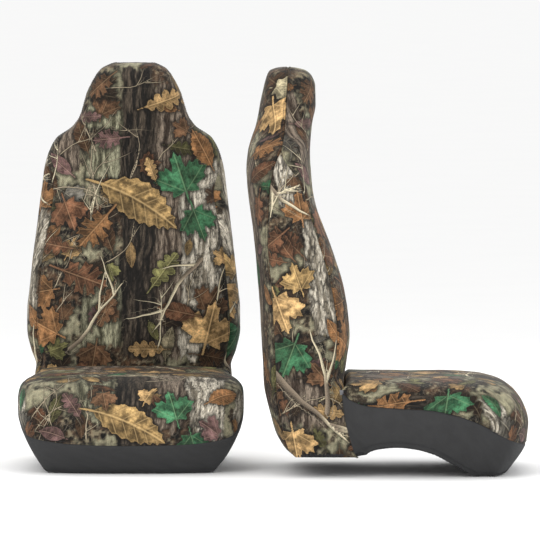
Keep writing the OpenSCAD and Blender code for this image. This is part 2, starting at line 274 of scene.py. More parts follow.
# ---------------------------------------------------------------- the seat's outline, mm
# v runs from 0 at the crease to 1 at the front hem; below 0 is the flap under the back.
# MID is the middle of a row, SIDE its ends, HEM the skirt's low edge against d, and CURL how far
# the skirt is tucked in against height.
MID_D = [(-0.14, 214), (-0.11, 222), (-0.08, 228.4), (-0.06, 229), (0, 241), (0.15, 300),
         (0.35, 390), (0.55, 470), (0.7, 535), (0.8, 580), (0.88, 618), (0.94, 642), (0.98, 653),
         (1, 648)]
MID_Z = [(-0.14, 186), (-0.11, 189), (-0.08, 197), (-0.06, 206), (-0.02, 218), (0, 222),
         (0.15, 222.5), (0.35, 220), (0.55, 221), (0.7, 218), (0.8, 208), (0.88, 187),
         (0.94, 155), (0.98, 112), (1, 66)]
SIDE_X = [(-0.14, 222), (-0.06, 226), (0, 227), (0.15, 240), (0.35, 257), (0.55, 262),
          (0.75, 262), (0.88, 258), (1, 248)]
SIDE_D = [(-0.14, 204), (-0.11, 209), (-0.08, 213), (-0.06, 214), (0, 220), (0.15, 270),
          (0.35, 350), (0.55, 430), (0.7, 484), (0.8, 516), (0.88, 540), (0.94, 556), (1, 572)]
SIDE_Z = [(-0.14, 184), (-0.11, 186), (-0.08, 191), (-0.06, 199), (0, 196), (0.07, 178),
          (0.15, 166), (0.35, 160), (0.5, 157), (0.7, 143), (0.8, 132), (0.94, 113), (1, 102)]
SEAT_SQUARE = [(0, 4.5), (0.7, 4.5), (1, 2.6)]
HEM = [(222, 49), (250, 50), (272, 57), (300, 64), (350, 68), (390, 64), (430, 53), (470, 32),
       (515, 8), (550, 0), (660, 0)]
CURL = [(0, 72), (3, 66), (8, 60), (22, 48), (49, 29), (77, 15), (100, 6), (130, 0), (200, 0)]


def seat_row(v):
    """A row of the seat's cloth from left to right."""
    v0 = max(v, 0.0)
    q = np.linspace(0, 1, 160)
    a = np.radians(90 * ease(q))
    n = float(curve(SEAT_SQUARE, v0))
    c, f = np.clip(np.cos(a), 0, 1) ** (2 / n), np.sin(a) ** (2 / n)
    side = np.array([curve(SIDE_X, v), curve(SIDE_D, v), curve(SIDE_Z, v)], float)
    mid = np.array([0, curve(MID_D, v), curve(MID_Z, v)], float)
    half = np.stack([side[0] * c, side[1] + (mid[1] - side[1]) * f,
                     side[2] + (mid[2] - side[2]) * f], -1)
    return both_sides(half)


def seat_grid():
    v = np.linspace(-0.14, 1, 760)
    p = np.stack([curve(MID_D, v), curve(MID_Z, v), curve(SIDE_D, np.clip(v, 0, 1)) * 0.5], -1)
    s = lengths(p)
    vs = np.interp(np.linspace(0, s[-1], int(s[-1] / STEP)), s, v)
    vs[-1] = 1.0
    return uniform([seat_row(x) for x in vs], int(640 / STEP)), vs


def smooth_path(p, passes=6):
    for _ in range(passes):
        q = p.copy()
        q[1:-1] = (p[:-2] + p[1:-1] * 2 + p[2:]) / 4
        p = q
    return p


def skirt_grid(seat, vs):
    """The skirt hangs from the seat panel's sides and front, and curls under to its hem."""
    start = int(np.argmax(vs >= 0))
    left, right, front = seat[start:, 0], seat[start:, -1], seat[-1]
    path = np.concatenate([left, front[1:-1], right[::-1]])
    path = uniform([path], int(1150 / (STEP * 1.2)))[0]
    t = np.gradient(smooth_path(path, 30), axis=0)
    out = np.stack([-t[:, 1], t[:, 0], np.zeros(len(t))], -1)
    out /= np.linalg.norm(out, axis=1, keepdims=True)
    if out[0, 0] > 0:
        out = -out
    rows, low = [], curve(HEM, path[:, 1])
    count = int(170 / (STEP * 1.1))
    for j in range(count + 1):
        s = j / count
        z = low + (path[:, 2] - low) * (1 - s) ** 1.5
        push = curve(CURL, path[:, 2]) - curve(CURL, z)
        p = path.copy()
        p[:, 2] = z
        p = p + out * push[:, None]
        # the rear edges follow the gusset's seam
        fade = np.clip(1 - (path[:, 1] - 220) / 90, 0, 1) ** 2
        goal_d = curve(SIDE_SEAM, z)
        p[:, 1] += (goal_d - 220) * fade
        held = np.clip(1.15 * fade - 0.15, 0, 1) ** 2
        p[:, 1] += (goal_d - 4.0 + path[:, 1] - 220 - p[:, 1]) * held
        p[:, 0] += (np.sign(path[:, 0]) * 226.5 - p[:, 0]) * held
        rows.append(p)
    return np.array(rows), path


# ---------------------------------------------------------------- leaves and twigs
def mirrored(half):
    h = np.array(half, float)
    other = h[::-1].copy()
    other[:, 0] *= -1
    return np.concatenate([h, other[1:-1] if abs(other[0, 0]) < 1e-9 else other[:-1]])


MAPLE = mirrored([(0, 1.0), (0.08, 0.80), (0.17, 0.83), (0.16, 0.60), (0.21, 0.40), (0.37, 0.60),
                  (0.44, 0.50), (0.62, 0.58), (0.60, 0.38), (0.84, 0.30), (0.66, 0.12),
                  (0.70, 0.00), (0.36, -0.14), (0.42, -0.34), (0.20, -0.30), (0.03, -0.24),
                  (0.03, -0.62), (0.0, -0.62)])
RED_OAK = mirrored([(0, 1.0), (0.06, 0.86), (0.19, 0.90), (0.13, 0.72), (0.09, 0.58),
                    (0.24, 0.60), (0.40, 0.72), (0.36, 0.55), (0.50, 0.48), (0.25, 0.36),
                    (0.11, 0.26), (0.30, 0.28), (0.52, 0.34), (0.44, 0.18), (0.55, 0.06),
                    (0.26, 0.02), (0.11, -0.06), (0.28, -0.10), (0.42, -0.12), (0.32, -0.26),
                    (0.35, -0.40), (0.13, -0.36), (0.04, -0.48), (0.03, -0.98), (0.0, -0.98)])
WHITE_OAK = mirrored([(0, 1.0), (0.13, 0.94), (0.15, 0.80), (0.09, 0.70), (0.26, 0.74),
                      (0.35, 0.62), (0.25, 0.50), (0.11, 0.42), (0.33, 0.40), (0.42, 0.27),
                      (0.32, 0.14), (0.11, 0.08), (0.32, 0.02), (0.38, -0.12), (0.26, -0.22),
                      (0.10, -0.24), (0.22, -0.36), (0.20, -0.48), (0.07, -0.54), (0.02, -0.66),
                      (0.02, -0.98), (0.0, -0.98)])
BEECH = mirrored([(0, 1.0), (0.10, 0.80), (0.24, 0.55), (0.34, 0.25), (0.37, -0.02),
                  (0.32, -0.28), (0.20, -0.50), (0.04, -0.64), (0.02, -0.98), (0.0, -0.98)])
CHESTNUT = mirrored([(0, 1), (0.07, 0.86), (0.15, 0.85), (0.14, 0.73), (0.25, 0.70), (0.23, 0.57),
                     (0.34, 0.52), (0.31, 0.39), (0.39, 0.32), (0.35, 0.19), (0.41, 0.10),
                     (0.35, -0.03), (0.38, -0.14), (0.29, -0.25), (0.30, -0.37), (0.19, -0.45),
                     (0.14, -0.57), (0.03, -0.66), (0.02, -0.98), (0.0, -0.98)])
KINDS = {"maple": MAPLE, "red": RED_OAK, "white": WHITE_OAK, "beech": BEECH, "chestnut": CHESTNUT}

TINT = {k: rgb(v) for k, v in {
    "tan": "ad8d60", "gold": "987d52", "orange": "8a6340", "rust": "6c4a35", "brown": "5f4531",
    "mauve": "6e5451", "green": "3a6848", "deep": "2b5036", "olive": "6c6a42",
    "pale": "b9ad8c", "grey": "6f6b62", "umber": "3a2c22"}.items()}


def polygon_distance(px, py, poly):
    """Signed distance to a polygon, positive inside."""
    a = poly
    b = np.roll(poly, -1, axis=0)
    e = b - a
    wx = px[:, None] - a[None, :, 0]
    wy = py[:, None] - a[None, :, 1]
    h = np.clip((wx * e[:, 0] + wy * e[:, 1]) / (e ** 2).sum(1), 0, 1)
    dist = np.sqrt(((wx - e[:, 0] * h) ** 2 + (wy - e[:, 1] * h) ** 2).min(1))
    up = (a[None, :, 1] <= py[:, None]) != (b[None, :, 1] <= py[:, None])
    cross = a[None, :, 0] + (py[:, None] - a[None, :, 1]) * e[None, :, 0] / np.where(
        np.abs(e[None, :, 1]) < 1e-12, 1e-12, e[None, :, 1])
    inside = ((up & (px[:, None] < cross)).sum(1) % 2) == 1
    return np.where(inside, dist, -dist)


def paint(X, Y, leaves, sticks, low, high, room):
    """Per point: for each layer of leaves, place in the leaf, distance inside its edge, and tint;
    and for two layers of twigs, distance across, half width and reach."""
    n = X.size
    X, Y = X.ravel(), Y.ravel()
    place = np.zeros((LAYERS, n, 3), np.float32)
    place[:, :, 2] = -12.0
    tint = np.zeros((LAYERS, n, 4), np.float32)
    used = [[] for _ in range(LAYERS)]
    for kind, cx, cy, size, turn, colour, squeeze, bend in leaves:
        reach = size * 1.05
        level = low
        for k in range(low, high):
            if any((cx - a) ** 2 + (cy - b) ** 2 < ((reach + r) * room) ** 2
                   for a, b, r in used[k]):
                level = k + 1
        if level >= high:
            continue
        used[level].append((cx, cy, reach))
        span = size * 1.1 + 12
        near = np.nonzero((np.abs(X - cx) < span) & (np.abs(Y - cy) < span))[0]
        if not len(near):
            continue
        a = math.radians(turn)
        dx, dy = X[near] - cx, Y[near] - cy
        u = (dx * math.cos(a) + dy * math.sin(a)) / size / squeeze
        v = (-dx * math.sin(a) + dy * math.cos(a)) / size
        u = u - bend * (v * v - 0.3)
        sd = polygon_distance(u, v, KINDS[kind]) * size
        better = sd > place[level, near, 2]
        ids = near[better]
        place[level, ids, 0] = u[better]
        place[level, ids, 1] = v[better]
        place[level, ids, 2] = sd[better]
        tint[level, ids, :3] = colour
        tint[level, ids, 3] = 1.0 if kind == "maple" else 0.0
    stick = np.zeros((2, n, 3), np.float32)
    stick[:, :, 0] = 12.0
    for level, path, w0, w1 in sticks:
        p = np.asarray(path, float)
        for i in range(len(p) - 1):
            a, b = p[i], p[i + 1]
            e = b - a
            length = np.linalg.norm(e)
            near = np.nonzero((X > min(a[0], b[0]) - 12) & (X < max(a[0], b[0]) + 12)
                              & (Y > min(a[1], b[1]) - 12) & (Y < max(a[1], b[1]) + 12))[0]
            if not len(near) or length < 1e-6:
                continue
            wx, wy = X[near] - a[0], Y[near] - a[1]
            h = np.clip((wx * e[0] + wy * e[1]) / length ** 2, 0, 1)
            ox, oy = wx - e[0] * h, wy - e[1] * h
            dist = np.hypot(ox, oy)
            side = np.sign(e[0] * oy - e[1] * ox)
            better = dist < np.abs(stick[level, near, 0])
            ids = near[better]
            t = (i + h[better]) / (len(p) - 1)
            stick[level, ids, 0] = (dist * np.where(side == 0, 1, side))[better]
            stick[level, ids, 1] = w0 + (w1 - w0) * t
            stick[level, ids, 2] = i * length + h[better] * length
    return place, tint, stick


# darkest and palest colour, the share between them, and how much fine and coarse streaks move it
BARK = {"black": (rgb("1c1916"), rgb("544a3f"), 0.22, 1.1, 0.6),
        "brown": (rgb("3a3028"), rgb("87796a"), 0.40, 1.2, 0.6),
        "khaki": (rgb("4a4838"), rgb("a3a085"), 0.5, 0.7, 0.9),
        "olive": (rgb("343629"), rgb("7d7b60"), 0.4, 0.9, 0.8),
        "birch": (rgb("70685a"), rgb("d3cab8"), 0.55, 1.0, 0.7)}


def ground(X, Y, trunks, seed, warmth):
    """The print's background: forest floor, with bands of bark. Alpha says how much it is bark."""
    big = fbm(X / 70, Y / 70, seed)
    mid = fbm(X / 20, Y / 24, seed + 5)
    fine = fbm(X / 6, Y / 7, seed + 9)
    litter = fbm(X / 11 + Y / 30, Y / 15, seed + 21)
    dark, moss, soil = rgb("14120f"), rgb("817d66"), rgb("5a4432")
    c = dark + (moss - dark) * ease((big * 1.1 + mid * 0.8) * 2.5 + 0.26)[..., None]
    c = c + (soil - c) * (ease((warmth - 0.5 - big * 0.9 + mid * 0.9) * 2.2 + 0.25) * 0.8)[..., None]
    gaps = ease((mid - big * 0.4 + fine * 0.35 - 0.12) * 5)
    c = c + (dark - c) * (gaps * 0.85)[..., None]
    grain = fbm(X / 4.2, Y / 24, seed + 27)
    c = c * (1 + 0.5 * fine + 0.4 * litter + 0.55 * grain)[..., None]
    chips = ease((fbm(X / 9, Y / 7, seed + 31) - 0.30) * 6)
    c = c + (rgb("a09478") - c) * (chips * 0.45)[..., None]
    bark = np.zeros_like(X)
    for kind, x0, half, lean, low, high in trunks:
        wob = fbm(Y / 90, Y * 0 + x0 * 0.1, seed + 40) * 10 + fbm(Y / 14, X * 0 + x0, seed + 41) * 3
        axis = x0 + lean * (Y - (low + high) / 2) + wob
        width = half + fbm(Y / 50, Y * 0 + x0 * 0.3, seed + 42) * half * 0.18
        s = width - np.abs(X - axis)
        ends = np.minimum(Y - low, high - Y) + fbm(X / 9, Y / 40, seed + 43) * 26
        m = ease(s / 3 + 0.5) * ease(ends / 10 + 0.5)
        streak = fbm((X - axis) / 3.6, Y / 34, seed + 50, 3)
        coarse = fbm((X - axis) / 11, Y / 80, seed + 51, 2)
        round_ = 1 - 0.45 * np.clip(np.abs(X - axis) / np.maximum(width, 1), 0, 1) ** 3
        dark_bark, pale_bark, base, fine_part, coarse_part = BARK[kind]
        t = ease(base + streak * fine_part + coarse * coarse_part)[..., None]
        t = dark_bark + (pale_bark - dark_bark) * t
        if kind == "birch":
            fleck = ease((fbm((X - axis) / 8, Y / 9, seed + 60) - 0.36) * 7)
            crack = ease((fbm((X - axis) / 4.5, Y / 40, seed + 61) - 0.26) * 8)
            t = t + (rgb("2a2622") - t) * (np.maximum(fleck, crack) * 0.8)[..., None]
        t = t * round_[..., None]
        shade = ease(1 + s / 9) * (1 - m)
        c = c * (1 - 0.45 * shade * ease(ends / 20))[..., None]
        c = c + (t - c) * m[..., None]
        bark = np.maximum(bark * (1 - m), m)
    return np.concatenate([np.clip(c, 0.004, 1), bark[..., None]], -1)


def scatter(rng, count, x0, x1, y0, y1, keep_off, small, large, greens):
    """Filler leaves, fewer on the trunks."""
    names = ["brown", "rust", "umber", "olive", "tan", "gold", "orange", "grey", "mauve", "pale"]
    weights = np.array([0.24, 0.16, 0.14, 0.08, 0.09, 0.07, 0.07, 0.05, 0.06, 0.04])
    out = []
    for _ in range(count):
        cx, cy = rng.uniform(x0, x1), rng.uniform(y0, y1)
        size = rng.uniform(small, large)
        on = any(a - size * 0.3 < cx < b + size * 0.3 and c < cy < d for a, b, c, d in keep_off)
        if on and rng.random() < 0.85:
            continue
        name = rng.choice(names, p=weights / weights.sum())
        if rng.random() < greens:
            name = rng.choice(["deep", "green", "olive"])
        kind = rng.choice(["maple", "red", "white", "beech", "chestnut"],
                          p=[0.22, 0.28, 0.2, 0.1, 0.2])
        tone = rng.uniform(0.4, 1.15)
        out.append((kind, cx, cy, size, rng.uniform(0, 360), np.clip(TINT[name] * tone, 0, 1),
                    rng.uniform(0.75, 1.05), rng.uniform(-0.15, 0.15)))
    return out


def twig(rng, level, x, y, turn, length, width, forks, wander):
    """A twig that wanders, with side shoots."""
    out, pts, a = [], [(x, y)], math.radians(turn)
    steps = max(3, int(length / 16))
    for i in range(steps):
        a += math.radians(rng.normal(0, wander))
        pts.append((pts[-1][0] + math.cos(a) * length / steps,
                    pts[-1][1] + math.sin(a) * length / steps))
    out.append((level, pts, width, width * 0.25))
    for k in range(forks):
        i = rng.integers(1, len(pts) - 1)
        side = 1 if rng.random() < 0.5 else -1
        out += twig(rng, level, *pts[i], math.degrees(a) + side * rng.uniform(25, 60),
                    length * rng.uniform(0.3, 0.55), width * 0.6, max(0, forks - 2), wander)
    return out


def twigs(rng, level, rows, forks, wander):
    """Twigs that start at x, y and run at an angle, for a length, with a width."""
    return [t for row in rows for t in twig(rng, level, *row, forks, wander)]


def placed(rows):
    """Leaves put where they should be: kind, x, y, size, turn, tint, tone, squeeze and bend."""
    out = []
    for kind, x, y, size, turn, name, tone, *more in rows:
        squeeze, bend = (*more, 1.0, 0.0)[:2] if len(more) != 1 else (more[0], 0.0)
        out.append((kind, x, y, size, turn, np.clip(TINT[name] * tone, 0, 1), squeeze, bend))
    return out


# ---------------------------------------------------------------- camera, lights, floor
scene = bpy.context.scene
CENTRE = Vector((0.3230, -0.10, 0.4655))
ELEVATION = math.radians(3.3)
DISTANCE = 16.0
cam_data = bpy.data.cameras.new("camera")
cam = bpy.data.objects.new("camera", cam_data)
scene.collection.objects.link(cam)
back_off = Vector((0, -math.cos(ELEVATION), math.sin(ELEVATION)))
cam.location = CENTRE + back_off * DISTANCE
cam.rotation_euler = (-back_off).to_track_quat("-Z", "Y").to_euler()
cam_data.sensor_width = 36
cam_data.lens = 36 * DISTANCE / 1.250
cam_data.clip_end = 100
cam_data.dof.use_dof = False
scene.camera = cam


def add_light(name, place, size, power, look, colour=(1, 1, 1)):
    data = bpy.data.lights.new(name, "AREA")
    data.shape = "RECTANGLE"
    data.size, data.size_y = size
    data.energy = power
    data.color = colour
    o = bpy.data.objects.new(name, data)
    o.location = place
    o.rotation_euler = (Vector(look) - Vector(place)).to_track_quat("-Z", "Y").to_euler()
    scene.collection.objects.link(o)


add_light("key", (-1.4, -3.6, 2.4), (2.2, 2.2), 62, (0.3, 0, 0.45), (1.0, 0.985, 0.96))
add_light("fill", (2.2, -3.6, 1.7), (2.4, 2.2), 44, (0.3, 0, 0.4), (0.98, 0.99, 1.0))
add_light("top", (0.3, 0.1, 3.1), (2.8, 2.2), 26, (0.3, 0, 0.4))
add_light("back", (0.3, 3.4, 2.0), (3.0, 1.8), 34, (0.3, 0, 0.5))
world = bpy.data.worlds.new("studio")
scene.world = world
world.use_nodes = True
world.node_tree.nodes["Background"].inputs["Color"].default_value = (1.0, 1.0, 1.0, 1)
world.node_tree.nodes["Background"].inputs["Strength"].default_value = 1.0
scene.view_settings.view_transform = "Standard"
scene.view_settings.look = "None"


# ---------------------------------------------------------------- materials
class Graph:
    """Short names for the shader nodes that the cloths are made from."""

    def __init__(self, name, colour):
        self.material = bpy.data.materials.new(name)
        self.material.use_nodes = True
        self.material.diffuse_color = (*colour, 1)
        self.tree = self.material.node_tree
        self.shader = self.tree.nodes["Principled BSDF"]

    def node(self, kind, **options):
        n = self.tree.nodes.new(kind)
        for k, v in options.items():
            setattr(n, k, v)
        return n

    def put(self, socket, value):
        if hasattr(value, "is_output"):
            self.tree.links.new(value, socket)
        else:
            if hasattr(socket.default_value, "__len__") and not hasattr(value, "__len__"):
                value = (value,) * len(socket.default_value)
            if hasattr(socket.default_value, "__len__") and len(socket.default_value) == 4 \
                    and len(value) == 3:
                value = (*value, 1)
            socket.default_value = value

    def math(self, op, a, b=0.0):
        n = self.node("ShaderNodeMath", operation=op)
        for s, v in zip(n.inputs, (a, b, 0.0)):
            self.put(s, v)
        return n.outputs[0]

    def add(self, a, b):
        return self.math("ADD", a, b)

    def times(self, a, b):
        return self.math("MULTIPLY", a, b)

    def minus(self, a, b):
        return self.math("SUBTRACT", a, b)

    def size(self, a):
        return self.math("ABSOLUTE", a)

    def vector(self, op, a, b=(0, 0, 0), scale=None):
        n = self.node("ShaderNodeVectorMath", operation=op)
        self.put(n.inputs[0], a)
        self.put(n.inputs[1], b)
        if scale is not None:
            self.put(n.inputs[3], scale)
        return n.outputs[0]

    def ramp(self, value, low, high, to_low=0.0, to_high=1.0):
        n = self.node("ShaderNodeMapRange", interpolation_type="SMOOTHSTEP")
        for s, v in zip(n.inputs[:5], (value, low, high, to_low, to_high)):
            self.put(s, v)
        return n.outputs[0]

    def mix(self, factor, a, b):
        n = self.node("ShaderNodeMix", data_type="RGBA", clamp_factor=True)
        self.put(n.inputs["Factor"], factor)
        self.put(n.inputs[6], a)
        self.put(n.inputs[7], b)
        return n.outputs[2]

    def attribute(self, name):
        return self.node("ShaderNodeAttribute", attribute_name=name)

    def split(self, vector):
        n = self.node("ShaderNodeSeparateXYZ")
        self.put(n.inputs[0], vector)
        return n.outputs

    def noise(self, vector, scale, detail=3.0, rough=0.55, distortion=0.0):
        n = self.node("ShaderNodeTexNoise", noise_dimensions="3D")
        self.put(n.inputs["Vector"], vector)
        n.inputs["Scale"].default_value = scale
        n.inputs["Detail"].default_value = detail
        n.inputs["Roughness"].default_value = rough
        n.inputs["Distortion"].default_value = distortion
        return n.outputs[0]

    def bump(self, height, distance, normal=None):
        n = self.node("ShaderNodeBump")
        n.inputs["Strength"].default_value = 1.0
        n.inputs["Distance"].default_value = distance
        self.put(n.inputs["Height"], height)
        if normal is not None:
            self.put(n.inputs["Normal"], normal)
        return n.outputs[0]

    def set(self, **values):
        for k, v in values.items():
            self.put(self.shader.inputs[k.replace("_", " ")], v)


def weave_height(g, cloth, pitch):
    """Over and under threads, pitch mm apart."""
    x, y, _ = g.split(cloth)
    kx, ky = g.times(x, math.pi / pitch), g.times(y, math.pi / pitch)
    a = g.size(g.math("SINE", kx))
    b = g.size(g.math("SINE", ky))
    half = g.math("SINE", g.times(kx, 0.5))
    other = g.math("SINE", g.times(ky, 0.5))
    over = g.ramp(g.times(half, other), -0.15, 0.15)
    return g.add(g.times(a, over),
                  g.times(b, g.minus(1.0, over)))


def leaf_layer(g, base, k, cloth, wobble):
    """One layer of leaves over base: shadow, blade with veins and blotches, and darker edge."""
    place = g.attribute("leaf%d" % k).outputs["Vector"]
    tint = g.attribute("tint%d" % k)
    u, v, edge = g.split(place)
    maple = tint.outputs["Alpha"]
    edge = g.add(edge, g.times(wobble, 6.5))
    shade = g.ramp(edge, -10.0, 0.3, 0.0, 0.80)
    base = g.mix(shade, base, SHADOW)
    side = g.size(u)
    oak = g.math("PINGPONG", g.add(g.times(side, -0.75), g.add(v, 2.0)), 0.13)
    oak = g.minus(0.13, oak)
    oak_vein = g.ramp(oak, 0.0, 0.022, 1.0, 0.0)
    angle = g.math("ARCTAN2", side, g.add(v, 0.26))
    low_v = g.add(v, 0.26)
    radius = g.math("SQRT", g.add(g.times(side, side), g.times(low_v, low_v)))
    palm = g.times(g.math("PINGPONG", angle, 0.44), radius)
    fan = g.math("PINGPONG", g.add(g.times(palm, -1.2), g.add(radius, 2.0)), 0.075)
    palm = g.math("MAXIMUM", g.ramp(palm, 0.006, 0.026, 1.0, 0.0),
                  g.ramp(g.minus(0.075, fan), 0.0, 0.016, 0.4, 0.0))
    mid = g.ramp(side, 0.006, 0.024, 1.0, 0.0)
    veins = g.math("MAXIMUM", mid, g.times(g.mix(maple, oak_vein, palm), 0.75))
    dirt = g.noise(g.vector("ADD", cloth, (31.0 * k, 17.0 * k, 5.0 * k)), 0.16, 4.0, 0.62)
    fine = g.noise(g.vector("ADD", cloth, (11.0 * k, 57.0 * k, 9.0 * k)), 0.62, 3.0, 0.6)
    curl = g.noise(g.vector("ADD", cloth, (71.0 * k, 23.0 * k, 45.0 * k)), 0.042, 2.0, 0.5)
    lift = g.times(g.ramp(curl, 0.34, 0.66, 0.38, 1.45),
                  g.add(g.ramp(dirt, 0.3, 0.7, 0.62, 1.36), g.ramp(fine, 0.25, 0.75, -0.24, 0.24)))
    blade = g.vector("SCALE", tint.outputs["Color"], scale=lift)
    blade = g.mix(g.ramp(u, -0.02, 0.02, 0.0, 0.42), blade, (0.012, 0.009, 0.005))
    pleat = g.ramp(g.math("PINGPONG", g.add(g.times(side, -0.75), g.add(v, 2.0)), 0.13),
                   0.0, 0.13, 0.0, 0.36)
    blade = g.mix(g.times(pleat, g.minus(1.0, maple)), blade, (0.02, 0.013, 0.007))
    pale = g.mix(0.35, g.vector("SCALE", tint.outputs["Color"], scale=1.8), (0.34, 0.28, 0.17))
    blade = g.mix(g.times(veins, 0.55), blade, pale)
    beside = g.ramp(g.size(g.minus(side, 0.045)), 0.0, 0.03, 0.35, 0.0)
    blade = g.mix(beside, blade, (0.02, 0.012, 0.006))
    rim = g.ramp(edge, 0.4, 5.0, 0.34, 0.0)
    blade = g.mix(rim, blade, g.vector("SCALE", tint.outputs["Color"], scale=0.35))
    light_rim = g.times(g.ramp(edge, 0.1, 0.7), g.ramp(edge, 0.8, 1.8, 0.35, 0.0))
    blade = g.mix(light_rim, blade, g.vector("SCALE", tint.outputs["Color"], scale=1.5))
    spots = g.noise(g.vector("ADD", cloth, (3.0 * k, 91.0 * k, 0)), 0.33, 2.0, 0.5)
    spots = g.ramp(spots, 0.63, 0.72, 0.0, 0.6)
    blade = g.mix(spots, blade, (0.035, 0.018, 0.008))
    return g.mix(g.ramp(edge, -0.35, 0.35), base, blade)


def twig_layer(g, base, k, cloth):
    """One layer of twigs over base: shadow, then wood that is lit from one side."""
    stick = g.attribute("twig%d" % k).outputs["Vector"]
    across, half, reach = g.split(stick)
    s = g.size(across)
    inside = g.minus(half, s)
    there = g.ramp(half, 0.2, 0.5)
    shadow = g.times(g.ramp(inside, -3.5, 0.5, 0.0, 0.55), there)
    base = g.mix(shadow, base, SHADOW)
    bark = g.noise(cloth, 0.5, 3.0, 0.6)
    round_ = g.math("DIVIDE", across, g.math("MAXIMUM", half, 0.3))
    tone = g.add(g.ramp(round_, -1.1, 1.0, 0.35, 1.15), g.ramp(bark, 0.3, 0.7, -0.25, 0.25))
    colour = g.vector("SCALE", g.attribute("wood%d" % k).outputs["Color"], scale=tone)
    return g.mix(g.times(g.ramp(inside, -0.3, 0.5), there), base, colour)


def make_print():
    """The woodland print on its woven cloth."""
    g = Graph("woodland_print", (0.30, 0.25, 0.18))
    cloth = g.attribute("cloth").outputs["Vector"]
    fine = g.noise(cloth, 0.55, 4.0, 0.65)
    wobble = g.minus(g.noise(cloth, 0.42, 2.0, 0.5), 0.5)
    floor = g.attribute("floor")
    tone = g.ramp(fine, 0.25, 0.78, 0.45, 1.65)
    stretched = g.vector("MULTIPLY", cloth, (1.0, 0.10, 1.0))
    streak = g.ramp(g.noise(stretched, 0.55, 4.0, 0.6), 0.3, 0.7, 0.55, 1.45)
    ridge = g.noise(g.vector("MULTIPLY", cloth, (1.0, 0.13, 1.0)), 0.24, 4.0, 0.62, 0.6)
    ridge = g.size(g.minus(ridge, 0.5))
    fissure = g.ramp(ridge, 0.0, 0.045, 0.30, 1.0)
    streak = g.times(streak, fissure)
    both = g.add(g.times(tone, g.minus(1.0, floor.outputs["Alpha"])),
                  g.times(g.times(g.add(g.times(tone, 0.5), 0.5), streak),
                         floor.outputs["Alpha"]))
    colour = g.vector("SCALE", floor.outputs["Color"], scale=both)
    needles = g.node("ShaderNodeTexVoronoi", feature="DISTANCE_TO_EDGE")
    shaken = g.vector("ADD", cloth, g.vector("SCALE", (1, 1, 0), scale=g.times(wobble, 14.0)))
    g.put(needles.inputs["Vector"], shaken)
    needles.inputs["Scale"].default_value = 0.075
    lines = g.times(g.ramp(needles.outputs["Distance"], 0.0, 0.05, 0.45, 0.0),
                   g.minus(1.0, floor.outputs["Alpha"]))
    colour = g.mix(lines, colour, (0.22, 0.18, 0.13))
    for k in range(LAYERS):
        colour = leaf_layer(g, colour, k, cloth, wobble)
        if k in TWIGS_OVER:
            colour = twig_layer(g, colour, TWIGS_OVER.index(k), cloth)
    weave = weave_height(g, cloth, 1.15)
    # painted shade: the print's colour is scaled down in the hollows of the weave and up on its raised
    # threads, as if lit from above; worn is random tone
    thread = g.ramp(weave, 0.0, 1.0, 0.86, 1.08)
    worn = g.ramp(g.noise(cloth, 0.02, 3.0, 0.5), 0.35, 0.7, 0.96, 1.06)
    colour = g.vector("SCALE", colour, scale=g.times(thread, worn))
    g.set(Base_Color=colour, Sheen_Weight=0.04, Sheen_Roughness=0.5, Specular_IOR_Level=0.18,
          Roughness=g.ramp(fine, 0.2, 0.8, 0.70, 0.86))
    g.put(g.shader.inputs["Sheen Tint"], (0.9, 0.9, 0.85))
    soft = g.bump(g.noise(cloth, 0.05, 3.0, 0.6), 0.0012)
    g.put(g.shader.inputs["Normal"], g.bump(weave, 0.00022, soft))
    return g.material


def make_knit(name, colour, lit_loop_colour, pitch, rib=0.0):
    """Knitted or ribbed cloth, pitch mm between its wales."""
    g = Graph(name, colour)
    cloth = g.attribute("cloth").outputs["Vector"]
    x, y, _ = g.split(cloth)
    fine = g.noise(cloth, 0.9, 3.0, 0.65)
    big = g.noise(cloth, 0.03, 3.0, 0.6)
    chain = g.size(g.math("SINE", g.times(x, math.pi / pitch)))
    loops = g.size(g.math("SINE", g.add(g.times(y, math.pi / pitch * 0.8),
                                                     g.times(chain, 1.3))))
    height = g.add(g.times(chain, 0.7), g.times(loops, 0.5))
    if rib:
        height = g.add(height, g.times(g.math("SINE", g.times(x, 2 * math.pi / rib)), 1.4))
    mottle = g.add(g.ramp(fine, 0.25, 0.75, -0.10, 0.14), g.ramp(big, 0.3, 0.7, -0.08, 0.10))
    # painted shade: raised loops and ribs lean to the paler, lit colour and the hollows between them to
    # the darker one, plus random mottle
    factor = g.add(g.times(g.ramp(height, 0.0, 1.2, 0.15, 0.85), 0.8), mottle)
    g.set(Base_Color=g.mix(factor, colour, lit_loop_colour), Sheen_Weight=0.06, Sheen_Roughness=0.45,
          Specular_IOR_Level=0.18, Roughness=g.ramp(fine, 0.2, 0.8, 0.72, 0.92))
    g.put(g.shader.inputs["Sheen Tint"], (0.85, 0.87, 0.9))
    soft = g.bump(big, 0.0015)
    g.put(g.shader.inputs["Normal"], g.bump(height, 0.00032, soft))
    return g.material


def make_steel():
    g = Graph("zinc_wire", (0.55, 0.55, 0.54))
    where = g.node("ShaderNodeTexCoord").outputs["Object"]
    fine = g.noise(where, 900.0, 3.0, 0.6)
    spangle = g.noise(where, 160.0, 4.0, 0.6)
    g.set(Base_Color=g.mix(g.ramp(spangle, 0.35, 0.65), (0.42, 0.42, 0.41), (0.64, 0.64, 0.62)),
          Metallic=1.0, Roughness=g.ramp(fine, 0.3, 0.7, 0.28, 0.46))
    g.put(g.shader.inputs["Normal"], g.bump(fine, 0.00003))
    return g.material


def make_floor():
    g = Graph("studio_floor", (0.9, 0.9, 0.9))
    where = g.node("ShaderNodeTexCoord").outputs["Object"]
    g.set(Base_Color=g.mix(g.noise(where, 3.0), (0.93, 0.93, 0.93), (0.955, 0.955, 0.95)),
          Roughness=0.95, Specular_IOR_Level=0.0)
    return g.material


